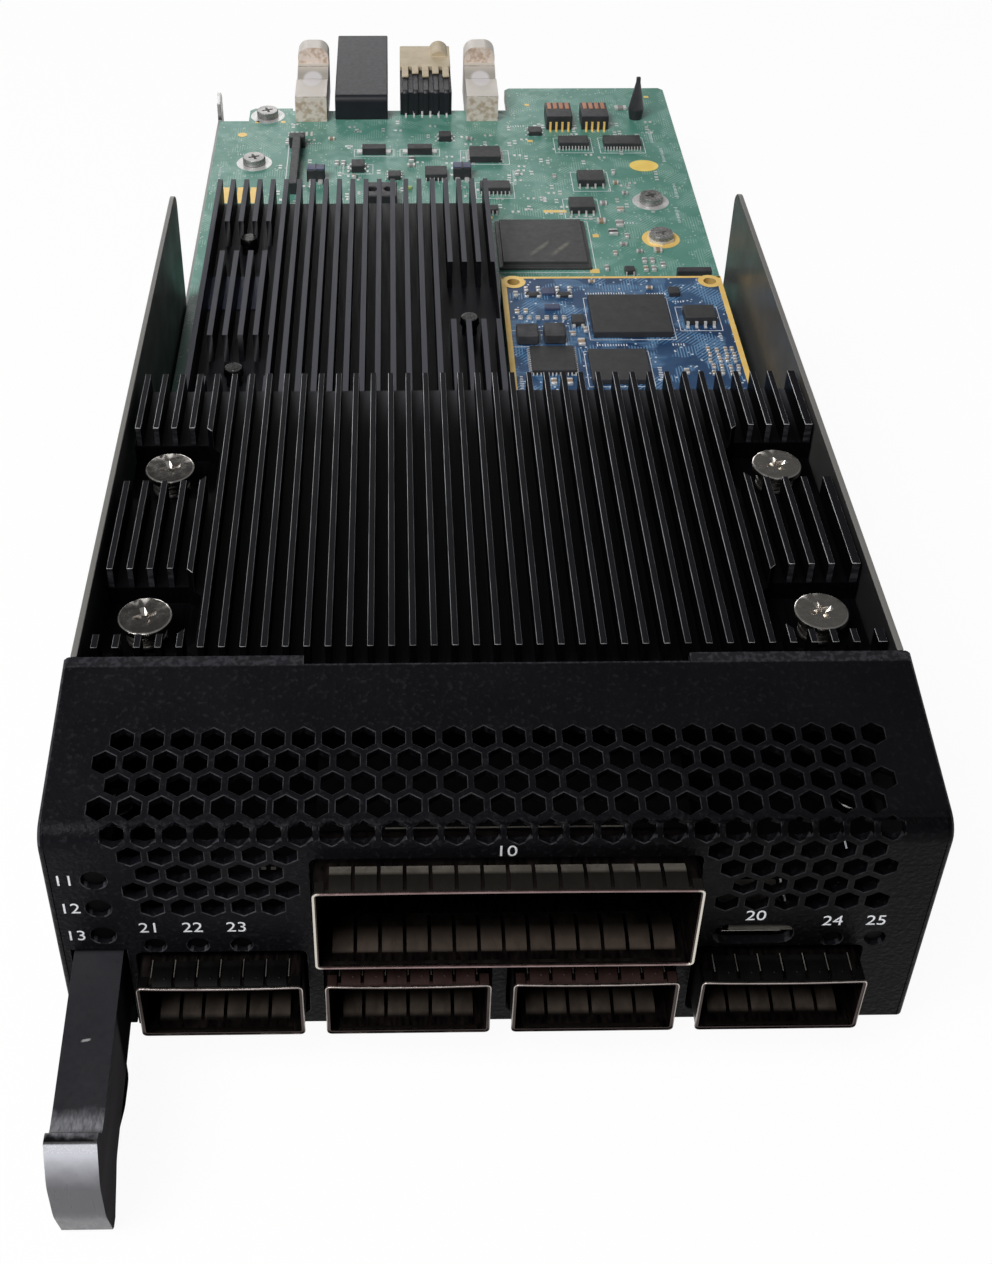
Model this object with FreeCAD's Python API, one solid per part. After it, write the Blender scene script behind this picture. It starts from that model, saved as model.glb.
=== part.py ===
"""Switch line card: a sheet tray and faceplate, a main board with port cages on both sides,
two finned heatsinks, a module board, rear connectors with guides, and an ejector lever.

Millimetres. X runs to the right, Y back from the faceplate's outer face, and Z up from the
tray's underside. X = 0 is the middle of the faceplate.
"""
import FreeCAD, Part
import math
import os

from FreeCAD import Vector

os.makedirs("parts", exist_ok=True)

# ---- Faceplate: vertical face, sloping hood and two cheeks ----
PANEL_WIDTH = 102.0
PANEL_SHEET = 1.2
CHEEK_SHEET = 0.8
FACE_HEIGHT = 34.6
BEND_FLAT = 3.12
HOOD_RUN = 24.15
HOOD_SLOPE = 9.7
CHEEK_FOOT_DEPTH = 10.0
CHEEK_REAR_DROP = 12.0
HOOD_RECESS_DEPTH = 1.2
HOOD_RECESS_LEFT = -22.2
HOOD_RECESS_RIGHT = 24.2
WINDOW_CLEARANCE = 0.45
WINDOW_TOP_CLEARANCE = 0.9
WINDOW_FOOT_CLEARANCE = 2.2
WINDOW_CORNER = 0.5

# ---- Hexagonal vents ----
HEX_PITCH = 3.47
HEX_FLATS = 2.65
HEX_SIDE_MARGIN = 6.57
HOOD_ROWS = 4
HOOD_FIRST_ROW = 3.7
FACE_FIRST_ROW = 3.38
FACE_ROW_COUNTS = (6, 5, 6, 5)
RIGHT_ROW_COUNTS = (6, 6, 5, 6)
RIGHT_ROW_STARTS = (20, 20.5, 21, 20.5)
LEFT_ROW_STARTS = (1, 1.5, 1, 1.5)

# ---- Light holes and the service slot ----
COLUMN_LIGHT_INSET = 4.05
COLUMN_LIGHT_Z = (27.2, 22.25, 17.3)
COLUMN_LIGHT_RADIUS = 1.5
LEFT_LIGHT_INSETS = (9.9, 14.9, 20.0)
RIGHT_LIGHT_INSETS = (9.5, 4.4)
ROW_LIGHT_Z = 15.3
ROW_LIGHT_RADIUS = 1.28
LIGHT_SIDES = 8
PIPE_SIDES = 6
COLUMN_PIPE_RADIUS = 1.25
ROW_PIPE_RADIUS = 1.05
PIPE_RECESS = 0.6
PIPE_BAR_DEPTH = 2.2
PIPE_MARGIN = 1.6
SLOT_SHIFT = -0.2
SLOT_Z = 16.3
SLOT_LENGTH = 9.4
SLOT_HEIGHT = 3.4
SLOT_CORNER = 1.1
SERVICE_SIDE_GAP = 1.0
SERVICE_TOP_GAP = 0.4
SERVICE_FACE_GAP = 0.1
SERVICE_WALL = 0.3
SERVICE_FLOOR = 0.6
SERVICE_TONGUE = 0.7
SERVICE_TONGUE_INSET = 1.2

# ---- Tray ----
TRAY_SHEET = 0.8
TRAY_FOLD = 1.0
WALL_DROP = 0.03
WALL_REAR = 141.8
WALL_CORNER = 3.0
RAIL_TOP = 13.5
TRAY_REAR = 222.0
EAR_REAR = 226.5
EAR_DEPTH = 4.5
EAR_TOP = 18.8
EAR_CORNER = 1.5

# ---- Main board ----
BOARD_SHEET = 2.4
BOARD_TOP = 16.2
BOARD_FRONT = 7.0
BOARD_SIDE_GAP = 0.3
BOARD_STEP_GAP = 1.5
BOARD_LEVER_GAP = 1.0
BOARD_REAR_LEFT = 216.0
BOARD_TAB_WIDTH = 9.4
BOARD_TAB_REAR = 222.3
BOARD_TAB_GUIDE_GAP = 0.95
BOARD_REAR_MIDDLE = 221.0
BOARD_STEP_X = 14.2
BOARD_REAR_RIGHT = 232.4
BOARD_OVERHANG = 0.1
BOARD_CORNER = 1.0
BOARD_STANDOFF_FLATS = 2.0
BOARD_STANDOFF_THREAD = 6.0
# side of the card, inset from the tray's wall, y
BOARD_SCREWS = ((-1, 3.0, 20.0), (1, 3.0, 20.0), (-1, 9.1, 196.0), (1, 8.5, 178.6), (1, 8.4, 163.4))
TAB_SCREW_INSET = 4.05
TAB_SCREW_Y = 218.4
BOARD_SCREW_RADIUS = 1.4
BOARD_SCREW_HEAD_RADIUS = 2.35
BOARD_SCREW_HEAD = 1.5
BOARD_SCREW_REACH = 5.0
SCREW_FIT = 0.05
HEAD_SIDES = 8
SHANK_SIDES = 6
SPACER_SIDES = 6

# ---- Port cages ----
CAGE_SHEET = 0.4
CAGE_CORNER = 0.3
WIDE_CAGE_X = 1.15
WIDE_CAGE_WIDTH = 43.4
WIDE_CAGE_HEIGHT = 13.4
WIDE_CAGE_LIP = 4.0
WIDE_CAGE_REAR = 84.0
WIDE_SOCKET_DEPTH = 12.0
SMALL_CAGE_PITCH = 21.92
SMALL_CAGE_OFFSET = -2.65
SMALL_CAGE_WIDTH = 19.2
SMALL_CAGE_HEIGHT = 9.1
SMALL_CAGE_DROP = 0.7
SMALL_CAGE_LIP = 4.3
SMALL_CAGE_REAR = 46.0
SMALL_SOCKET_DEPTH = 9.0
CAGE_LEG_WIDTH = 1.0
CAGE_LEG_DEPTH = 0.8
CAGE_LEG_INSET = 1.2
CAGE_LEG_SETBACKS = (10.0, 42.0)
SOCKET_SIDE_GAP = 2.2
SOCKET_TOP_GAP = 0.8
SOCKET_SLOT_WALL = 1.5
SOCKET_SLOT_DEPTH = 5.0
SOCKET_SLOT_HEIGHT = 1.2

# ---- Contact fingers at the cage mouths ----
FINGER_SHEET = 0.15
FINGER_GAP = 0.45
FINGER_REACH = 3.4
FINGER_INNER_REACH = 5.0
FINGER_WRAP = 0.5
FINGER_EDGE = 1.6
SMALL_FINGER_COUNT = 6
WIDE_FINGER_COUNT = 14

# ---- Front heatsink and its spring screws ----
SINK_LEFT_GAP = 0.8
SINK_RIGHT_GAP = 0.3
SINK_FRONT = 26.0
SINK_OVERHANG = 1.6
SINK_BASE_SHEET = 4.4
SINK_FIN_HEIGHT = 3.25
SINK_FIN_SHEET = 0.8
SINK_FIN_PITCH = 2.585
SINK_FIN_INSET = 0.75
SINK_LAST_FIN_SHEET = 1.1
SINK_LAST_FIN_SHIFT = 0.6
SINK_FIN_FRONT_GAP = 0.7
PAD_SHEET = 0.6
PAD_MARGIN = 2.0
SINK_SCREW_INSET = 6.7
SINK_SCREW_Y = (34.4, 65.0)
POCKET_INNER = 6.5
POCKET_FRONT = 5.3
POCKET_REAR = 6.9
POCKET_CORNER = 1.8
POCKET_FLOOR = 1.5
SINK_HEAD_RADIUS = 3.45
SINK_HEAD_SHEET = 0.9
SINK_HEAD_TOP = 36.0
SINK_SHANK_RADIUS = 1.5
SINK_SHANK_TIP = 23.0
SINK_HOLE_RADIUS = 1.8
SPRING_RADIUS = 2.6
SPRING_WIRE = 0.5
SPRING_SIDES = 6
SINK_STANDOFF_FLATS = 2.6
SCREW_TIP_ROOM = 1.0

# ---- Rear heatsink, its processor and push pins ----
REAR_SINK_INSET = 4.8
REAR_SINK_SIDE_GAP = 1.0
REAR_SINK_GAP = 6.0
REAR_SINK_LENGTH = 74.9
REAR_SINK_BASE_SHEET = 3.4
REAR_FIN_PITCH = 2.523
REAR_FIN_INSET = 0.5
REAR_FIN_SHEET = 0.9
REAR_FIN_HEIGHT = 5.3
PROCESSOR_SIZE = 31.0
PROCESSOR_SETBACK = 37.0
PROCESSOR_HEIGHT = 3.8
PROCESSOR_LID_MARGIN = 3.0
PROCESSOR_CARRIER = 1.6
# side of the heatsink, inset from it, setback from its front; pocket front, rear and half width
PUSH_PINS = (
    (-1, 7.0, 56.4, 8.4, 2.2, 5.6),
    (-1, 7.3, 14.0, 5.5, 6.4, 5.6),
    (1, 5.2, 29.0, 4.0, 14.7, 4.9),
)
PUSH_PIN_RADIUS = 1.0
PUSH_PIN_HEAD_RADIUS = 1.7
PUSH_PIN_HEAD = 1.4
PUSH_PIN_COLLAR_RADIUS = 1.35
PUSH_PIN_TOP = 26.6
PUSH_PIN_TAIL = 1.2
LABEL_WIDTH = 10.3
LABEL_SETBACK = 36.6
LABEL_LENGTH = 11.0
LABEL_SHEET = 0.1

# ---- Module board on its connector and standoffs ----
MODULE_INSET = 2.1
MODULE_WIDTH = 39.4
MODULE_GAP = 4.0
MODULE_LENGTH = 47.6
MODULE_SHEET = 1.6
MODULE_TOP = 24.4
MODULE_HOLE_INSET_X = 2.2
MODULE_HOLE_INSET_Y = 1.8
MODULE_HOLE_RADIUS = 1.1
MODULE_STANDOFF_FLATS = 1.9
MODULE_STANDOFF_FLOOR = 2.0
MODULE_CONNECTOR_WIDTH = 30.0
MODULE_CONNECTOR_DEPTH = 6.0
MODULE_CONNECTOR_SETBACK = 9.0
# x and y from the module's front left corner, width, depth, height
MODULE_PARTS = (
    (21.4, 33.6, 13.4, 12.2, 1.2),
    (18.0, 18.2, 9.7, 9.2, 1.0),
    (7.2, 20.3, 7.3, 7.4, 0.9),
    (33.4, 33.4, 5.3, 4.2, 1.6),
    (12.4, 32.3, 2.1, 2.6, 1.0),
    (30.2, 41.6, 1.9, 2.2, 0.9),
    (5.3, 41.1, 2.5, 1.3, 0.5),
    (10.8, 41.1, 2.5, 1.3, 0.5),
)
MODULE_CHOKES = ((3.4, 27.3, 3.7, 4.0, 2.0), (8.0, 27.5, 3.6, 4.0, 2.0))

# ---- Parts on the main board: x, y, width, depth, height ----
LARGE_CHIP = (17.6, 160.6, 17.6, 18.0, 1.5)
LARGE_CHIP_CARRIER = 0.7
LARGE_CHIP_STEP = 0.8
BOARD_PARTS = (
    (29.5, 187.2, 5.4, 4.6, 1.6),
    (26.6, 175.7, 5.0, 4.4, 1.6),
    (27.4, 203.7, 6.4, 3.6, 1.5),
    (37.8, 203.6, 7.9, 4.0, 1.5),
    (8.2, 198.2, 6.5, 5.0, 1.5),
    (9.6, 183.5, 6.1, 3.4, 1.5),
    (-2.3, 189.7, 4.5, 4.0, 1.5),
    (-15.2, 200.5, 5.0, 2.2, 1.6),
    (-5.5, 200.5, 5.2, 2.2, 1.6),
    (-18.5, 193.0, 2.7, 3.2, 1.6),
    (-10.9, 189.4, 2.6, 2.6, 1.0),
    (0.0, 206.8, 2.6, 2.6, 1.4),
    (19.6, 209.6, 2.8, 2.8, 1.0),
    (8.7, 174.7, 2.1, 2.1, 1.0),
    (33.4, 150.7, 1.9, 1.9, 1.0),
)
POWER_PARTS = ((25.0, 214.6, 5.6, 7.0, 3.2), (32.8, 214.6, 5.8, 7.0, 3.2))
UPRIGHT_PARTS = ((-27.1, 188.9, 3.7, 3.0, 2.6), (3.1, 189.6, 3.7, 3.0, 2.6), (44.9, 146.9, 6.4, 1.6, 3.0),
                 (42.3, 216.9, 0.9, 0.9, 9.6))
PIN_HEADER = (-31.6, 193.6, 1.7, 23.0, 2.6)
HEADER_CAP = 2.4
TERMINAL = (-13.7, 178.4, 6.6, 6.0, 3.2)
TERMINAL_HOLE_RADIUS = 0.9
TERMINAL_HOLE_DEPTH = 2.4
TERMINAL_HOLE_SPREAD = 1.65

# ---- Rear connectors ----
POWER_LEFT = -23.8
POWER_RIGHT = -12.3
POWER_FRONT = 216.4
POWER_REAR = 249.8
POWER_TOP = 21.6
POWER_EDGE = 1.4
CONNECTOR_FOOT = 13.0
CONNECTOR_NOTCH_GAP = 0.3
POWER_CAVITY_DEPTH = 9.0
POWER_CAVITY_WALL = 1.3
SIGNAL_LEFT = -9.5
SIGNAL_RIGHT = 1.8
SIGNAL_FRONT = 218.8
SIGNAL_SPLIT = 230.5
SIGNAL_REAR = 241.6
SIGNAL_TOP = 22.0
SIGNAL_RIBS = 5
SIGNAL_RIB_WIDTH = 1.1
SIGNAL_RIB_RISE = 0.5
SIGNAL_RIB_REACH = 0.3
SIGNAL_RIB_CLIP = 0.6
HOUSING_RISE = 0.5
COMB_TOOTH_WIDTH = 1.5
COMB_LONG = 5.2
COMB_SHORT = 3.4
KEY_X = -0.7
KEY_RADIUS = 2.1
KEY_SINK = 0.8
KEY_LENGTH = 6.0
GUIDE_CENTRES = (-29.0, 8.4)
GUIDE_WIDTH = 6.9
GUIDE_FRONT = 215.4
GUIDE_PLATE_FRONT = 233.0
GUIDE_REAR = 237.6
GUIDE_TOP = 22.1
GUIDE_PLATE_TOP = 25.8
GUIDE_PLATE_CORNER = 2.4
GUIDE_BORE_RADIUS = 2.1
GUIDE_BORE_DEPTH = 10.0
GUIDE_BORE_Z = 18.4
GUIDE_DISH_FRONT = 224.2
GUIDE_DISH_REAR = 230.8
GUIDE_DISH_DEPTH = 1.2

# ---- Ejector lever ----
LEVER_SIDE_GAP = 0.3
LEVER_WIDTH = 5.8
LEVER_ROOT_TOP = 14.2
LEVER_ROOT_FOOT = 3.6
LEVER_NECK = 19.0
LEVER_NECK_TOP = 11.2
LEVER_NECK_FOOT = 0.3
NOSE_LIP = 22.9
NOSE_LIP_TOP = 13.1
NOSE_FRONT = 25.6
NOSE_FRONT_Z = 5.0
NOSE_FOOT = 24.2
NOSE_FOOT_Z = -3.9
NOSE_FOOT_CLIP = 0.5
NOSE_REAR = 22.0
PIVOT_Y = 7.0
PIVOT_Z = 8.0
PIVOT_PIN_RADIUS = 1.5
PIVOT_CLEARANCE = 0.05
HUB_RADIUS = 5.5
CAM_RADIUS = 7.4
CAM_ANGLE = -60.0
CAM_HALF_ANGLE = 16.0
NOTCH_CLEARANCE = 0.4
GRIP_FRONT = 15.4
GRIP_REAR = 5.8
GRIP_FOOT = -1.4
GRIP_SIDE_INSET = 0.2
BRACKET_SHEET = 0.8
BRACKET_GAP = 0.4
BRACKET_RADIUS = 4.6
BRACKET_FOOT_LENGTH = 7.0
BRACKET_FOOT_FRONT = 5.0
BRACKET_FRONT = 3.0
BRACKET_REAR = 20.0
LEVER_SLOT_REAR = 14.0
PIN_HEAD_RADIUS = 2.2
PIN_HEAD_SHEET = 0.35

# ---- Derived places ----
HALF = PANEL_WIDTH / 2
TRAY_HALF = HALF - CHEEK_SHEET
TRAY_INNER = TRAY_HALF - TRAY_SHEET
SLOPE = math.radians(HOOD_SLOPE)
HOOD_TOP = FACE_HEIGHT + HOOD_RUN * math.tan(SLOPE)
BEND_SETBACK = BEND_FLAT / 2 / math.sin((math.pi / 2 + SLOPE) / 2)
WALL_TOP = HOOD_TOP - WALL_DROP
LEVER_LEFT = -TRAY_INNER + LEVER_SIDE_GAP
LEVER_RIGHT = LEVER_LEFT + LEVER_WIDTH
NOTCH_LEFT = LEVER_LEFT - NOTCH_CLEARANCE
NOTCH_RIGHT = LEVER_RIGHT + NOTCH_CLEARANCE
NOTCH_TOP = LEVER_ROOT_TOP + NOTCH_CLEARANCE
BRACKET_LEFT = LEVER_RIGHT + BRACKET_GAP
BRACKET_RIGHT = BRACKET_LEFT + BRACKET_SHEET
BOARD_FOOT = BOARD_TOP - BOARD_SHEET
BOARD_HALF = TRAY_INNER - BOARD_SIDE_GAP
BOARD_WIDE_RIGHT = TRAY_HALF + BOARD_OVERHANG
BOARD_TAB_RIGHT = GUIDE_CENTRES[0] - GUIDE_WIDTH / 2 - BOARD_TAB_GUIDE_GAP
BOARD_TAB_LEFT = BOARD_TAB_RIGHT - BOARD_TAB_WIDTH
BOARD_SCREW_SPOTS = [(side * (TRAY_INNER - inset), y) for side, inset, y in BOARD_SCREWS]
BOARD_SCREW_SPOTS.insert(3, (BOARD_TAB_LEFT + TAB_SCREW_INSET, TAB_SCREW_Y))
WIDE_CAGE_TOP = BOARD_TOP + WIDE_CAGE_HEIGHT
SMALL_CAGE_TOP = BOARD_FOOT - SMALL_CAGE_DROP
SMALL_CAGE_FOOT = SMALL_CAGE_TOP - SMALL_CAGE_HEIGHT
SMALL_CAGE_COUNT = int((TRAY_INNER - BRACKET_RIGHT) / SMALL_CAGE_PITCH)
SMALL_CAGE_MIDDLE = (TRAY_INNER + BRACKET_RIGHT) / 2 + SMALL_CAGE_OFFSET
SMALL_CAGE_CENTRES = [SMALL_CAGE_MIDDLE + (i - (SMALL_CAGE_COUNT - 1) / 2) * SMALL_CAGE_PITCH
                      for i in range(SMALL_CAGE_COUNT)]
SINK_LEFT = -TRAY_INNER + SINK_LEFT_GAP
SINK_RIGHT = TRAY_INNER - SINK_RIGHT_GAP
SINK_REAR = WIDE_CAGE_REAR + SINK_OVERHANG
SINK_FIRST_FIN = SINK_LEFT + SINK_FIN_INSET
SINK_FIN_COUNT = int((SINK_RIGHT - SINK_FIRST_FIN) / SINK_FIN_PITCH) + 1
SINK_SCREW_X = TRAY_INNER - SINK_SCREW_INSET
SINK_BASE_FOOT = WIDE_CAGE_TOP + PAD_SHEET
SINK_BASE_TOP = SINK_BASE_FOOT + SINK_BASE_SHEET
SINK_FIN_TOP = SINK_BASE_TOP + SINK_FIN_HEIGHT
SINK_POCKET_Z = SINK_BASE_FOOT + POCKET_FLOOR
SINK_SCREW_SPOTS = [(side * SINK_SCREW_X, y) for y in SINK_SCREW_Y for side in (-1, 1)]
MODULE_RIGHT = TRAY_INNER - MODULE_INSET
MODULE_LEFT = MODULE_RIGHT - MODULE_WIDTH
MODULE_FRONT = WIDE_CAGE_REAR + MODULE_GAP
MODULE_REAR = MODULE_FRONT + MODULE_LENGTH
REAR_SINK_LEFT = -TRAY_INNER + REAR_SINK_INSET
REAR_SINK_RIGHT = MODULE_LEFT - REAR_SINK_SIDE_GAP
REAR_SINK_FRONT = WIDE_CAGE_REAR + REAR_SINK_GAP
REAR_SINK_REAR = REAR_SINK_FRONT + REAR_SINK_LENGTH
REAR_FIRST_FIN = REAR_SINK_LEFT + REAR_FIN_INSET
REAR_FIN_COUNT = int((REAR_SINK_RIGHT - REAR_FIRST_FIN) / REAR_FIN_PITCH) + 1
PROCESSOR_X = (REAR_SINK_LEFT + REAR_SINK_RIGHT) / 2
PROCESSOR_Y = REAR_SINK_FRONT + PROCESSOR_SETBACK
PIN_SPOTS = [((REAR_SINK_LEFT + inset) if side < 0 else (REAR_SINK_RIGHT - inset), REAR_SINK_FRONT + setback)
             for side, inset, setback, *pocket in PUSH_PINS]
REAR_SINK_FOOT = BOARD_TOP + PROCESSOR_HEIGHT
REAR_SINK_BASE_TOP = REAR_SINK_FOOT + REAR_SINK_BASE_SHEET
REAR_FIN_TOP = REAR_SINK_BASE_TOP + REAR_FIN_HEIGHT
MODULE_FOOT = MODULE_TOP - MODULE_SHEET
MODULE_SPOTS = [(x, MODULE_REAR - MODULE_HOLE_INSET_Y)
                for x in (MODULE_LEFT + MODULE_HOLE_INSET_X, MODULE_RIGHT - MODULE_HOLE_INSET_X)]
HEX_FIRST_X = -HALF + HEX_SIDE_MARGIN
HEX_COLUMNS = int((PANEL_WIDTH - 2 * HEX_SIDE_MARGIN + HEX_PITCH / 2) / HEX_PITCH)
COLUMN_LIGHT_X = -TRAY_INNER + COLUMN_LIGHT_INSET
LEFT_LIGHTS = [-TRAY_INNER + inset for inset in LEFT_LIGHT_INSETS]
RIGHT_LIGHTS = [TRAY_INNER - inset for inset in RIGHT_LIGHT_INSETS]
SLOT_X = (WIDE_CAGE_X + WIDE_CAGE_WIDTH / 2 + RIGHT_LIGHTS[0] - ROW_LIGHT_RADIUS) / 2 + SLOT_SHIFT
OVERCUT = 5.0


# ---- Helpers ----
def box(left, right, front, rear, foot, top):
    return Part.makeBox(right - left, rear - front, top - foot, Vector(left, front, foot))


def centred_box(x, y, width, depth, foot, height):
    return box(x - width / 2, x + width / 2, y - depth / 2, y + depth / 2, foot, foot + height)


def post(x, y, foot, top, radius):
    return Part.makeCylinder(radius, top - foot, Vector(x, y, foot))


def rod(left, right, y, z, radius):
    return Part.makeCylinder(radius, right - left, Vector(left, y, z), Vector(1, 0, 0))


def bore_y(x, z, front, rear, radius):
    return Part.makeCylinder(radius, rear - front, Vector(x, front, z), Vector(0, 1, 0))


def regular_prism(centre, along, up, radius, sides, length):
    """A prism on a regular polygon round a circle of `radius`, with one corner towards `up`."""
    across = along.cross(up)
    corner = radius / math.cos(math.pi / sides)
    ring = []
    for i in range(sides):
        angle = 2 * math.pi * i / sides
        ring.append(centre + up * corner * math.cos(angle) + across * corner * math.sin(angle))
    return Part.Face(Part.makePolygon(ring + ring[:1])).extrude(along * length)


def plain_post(x, y, foot, top, radius, sides):
    """An upright prism, for small fasteners and spacers."""
    return regular_prism(Vector(x, y, foot), Vector(0, 0, 1), Vector(1, 0, 0), radius, sides, top - foot)


def plain_rod_y(x, z, front, rear, radius, sides):
    return regular_prism(Vector(x, front, z), Vector(0, 1, 0), Vector(0, 0, 1), radius, sides, rear - front)


def rounded_wire(corners):
    """A closed wire through (point, radius) corners, each rounded by a tangent arc."""
    trims = []
    count = len(corners)
    for i, (point, radius) in enumerate(corners):
        before = (corners[i - 1][0] - point).normalize()
        after = (corners[(i + 1) % count][0] - point).normalize()
        if radius <= 0:
            trims.append((point, None, point))
            continue
        half_angle = before.getAngle(after) / 2
        run = radius / math.tan(half_angle)
        bisector = (before + after).normalize()
        middle = point + bisector * (radius / math.sin(half_angle) - radius)
        trims.append((point + before * run, middle, point + after * run))
    edges = []
    for i, (start, middle, end) in enumerate(trims):
        if middle is not None:
            edges.append(Part.Arc(start, middle, end).toShape())
        following = trims[(i + 1) % count][0]
        if end.distanceToPoint(following) > 1e-6:
            edges.append(Part.LineSegment(end, following).toShape())
    return Part.Wire(edges)


def side_profile(corners, left, right):
    """Extrude (y, z, radius) corners along X."""
    wire = rounded_wire([(Vector(left, y, z), radius) for y, z, radius in corners])
    return Part.Face(wire).extrude(Vector(right - left, 0, 0))


def plan_profile(corners, foot, top):
    """Extrude (x, y, radius) corners along Z."""
    wire = rounded_wire([(Vector(x, y, foot), radius) for x, y, radius in corners])
    return Part.Face(wire).extrude(Vector(0, 0, top - foot))


def front_profile(corners, front, rear):
    """Extrude (x, z, radius) corners along Y."""
    wire = rounded_wire([(Vector(x, front, z), radius) for x, z, radius in corners])
    return Part.Face(wire).extrude(Vector(0, rear - front, 0))


def rectangle(left, right, low, high, radius):
    return [(left, low, radius), (right, low, radius), (right, high, radius), (left, high, radius)]


def clipped(left, right, low, high, clip):
    """A rectangle with its corners clipped, as profile corners."""
    return [(left + clip, low, 0), (right - clip, low, 0), (right, low + clip, 0), (right, high - clip, 0),
            (right - clip, high, 0), (left + clip, high, 0), (left, high - clip, 0), (left, low + clip, 0)]


def hexagon_cutter(centre, along, up):
    """A hexagonal prism through the sheet with two corners on the line `up`, centred on `centre`."""
    return regular_prism(centre - along * PANEL_SHEET, along, up, HEX_FLATS / 2, 6, 2 * PANEL_SHEET)


def fuse(shapes):
    return shapes[0].multiFuse(shapes[1:]).removeSplitter() if len(shapes) > 1 else shapes[0]


def cut_all(shape, cutters):
    return shape.cut(Part.makeCompound(cutters))


def save(name, shape):
    shape.exportStep("parts/" + name + ".step")


# ---- Faceplate ----
def hood_point(run, depth):
    """A point `run` up the hood from the bend's corner and `depth` inside its outer surface."""
    y = run * math.cos(SLOPE) + depth * math.sin(SLOPE)
    z = FACE_HEIGHT + run * math.sin(SLOPE) - depth * math.cos(SLOPE)
    return Vector(0, y, z)


def vent_cutters():
    cutters = []
    row_step = HEX_PITCH * math.sqrt(3) / 2
    hood_up = Vector(0, math.cos(SLOPE), math.sin(SLOPE))
    hood_in = Vector(0, math.sin(SLOPE), -math.cos(SLOPE))
    for row in range(HOOD_ROWS):
        start = HEX_FIRST_X + (row % 2) * HEX_PITCH / 2
        spot = hood_point(HOOD_FIRST_ROW + row * row_step, PANEL_SHEET / 2)
        for column in range(HEX_COLUMNS):
            centre = spot + Vector(start + column * HEX_PITCH, 0, 0)
            cutters.append(hexagon_cutter(centre, hood_in, hood_up))
    bend_in = (hood_in + Vector(0, 1, 0)).normalize()
    bend_up = Vector(0, -bend_in.z, bend_in.y)
    bend_depth = BEND_SETBACK * math.cos((math.pi / 2 + SLOPE) / 2) + PANEL_SHEET / 2
    bend_spot = Vector(0, 0, FACE_HEIGHT) + bend_in * bend_depth
    for column in range(HEX_COLUMNS):
        centre = bend_spot + Vector(HEX_FIRST_X + (column + 0.5) * HEX_PITCH, 0, 0)
        cutters.append(hexagon_cutter(centre, bend_in, bend_up))
    for starts, counts in ((LEFT_ROW_STARTS, FACE_ROW_COUNTS), (RIGHT_ROW_STARTS, RIGHT_ROW_COUNTS)):
        for row, (start, count) in enumerate(zip(starts, counts)):
            z = FACE_HEIGHT - FACE_FIRST_ROW - row * row_step
            for column in range(count):
                centre = Vector(HEX_FIRST_X + (start + column) * HEX_PITCH, PANEL_SHEET / 2, z)
                cutters.append(hexagon_cutter(centre, Vector(0, 1, 0), Vector(0, 0, 1)))
    return cutters


def window_cutters():
    front = -OVERCUT
    rear = PANEL_SHEET + 0.1
    cutters = []
    for x in SMALL_CAGE_CENTRES:
        half = SMALL_CAGE_WIDTH / 2 + WINDOW_CLEARANCE
        corners = clipped(x - half, x + half, SMALL_CAGE_FOOT - WINDOW_FOOT_CLEARANCE,
                          SMALL_CAGE_TOP + WINDOW_TOP_CLEARANCE, WINDOW_CORNER)
        cutters.append(front_profile(corners, front, rear))
    half = WIDE_CAGE_WIDTH / 2 + WINDOW_CLEARANCE
    corners = clipped(WIDE_CAGE_X - half, WIDE_CAGE_X + half, BOARD_TOP - WINDOW_CLEARANCE,
                      WIDE_CAGE_TOP + WINDOW_TOP_CLEARANCE, WINDOW_CORNER)
    cutters.append(front_profile(corners, front, rear))
    half = SLOT_LENGTH / 2
    corners = clipped(SLOT_X - half, SLOT_X + half,
                      SLOT_Z - SLOT_HEIGHT / 2, SLOT_Z + SLOT_HEIGHT / 2, SLOT_CORNER)
    cutters.append(front_profile(corners, front, rear))
    for z in COLUMN_LIGHT_Z:
        cutters.append(plain_rod_y(COLUMN_LIGHT_X, z, front, rear, COLUMN_LIGHT_RADIUS, LIGHT_SIDES))
    for x in LEFT_LIGHTS + RIGHT_LIGHTS:
        cutters.append(plain_rod_y(x, ROW_LIGHT_Z, front, rear, ROW_LIGHT_RADIUS, LIGHT_SIDES))
    cutters.append(box(NOTCH_LEFT, NOTCH_RIGHT, front, rear, -OVERCUT, NOTCH_TOP))
    return cutters


def folded_corner(y, z, setback):
    """Where the bend's flat leaves the face and the hood, `setback` from their meeting line."""
    return [(y, z - setback, 0), (y + setback * math.cos(SLOPE), z + setback * math.sin(SLOPE), 0)]


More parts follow.
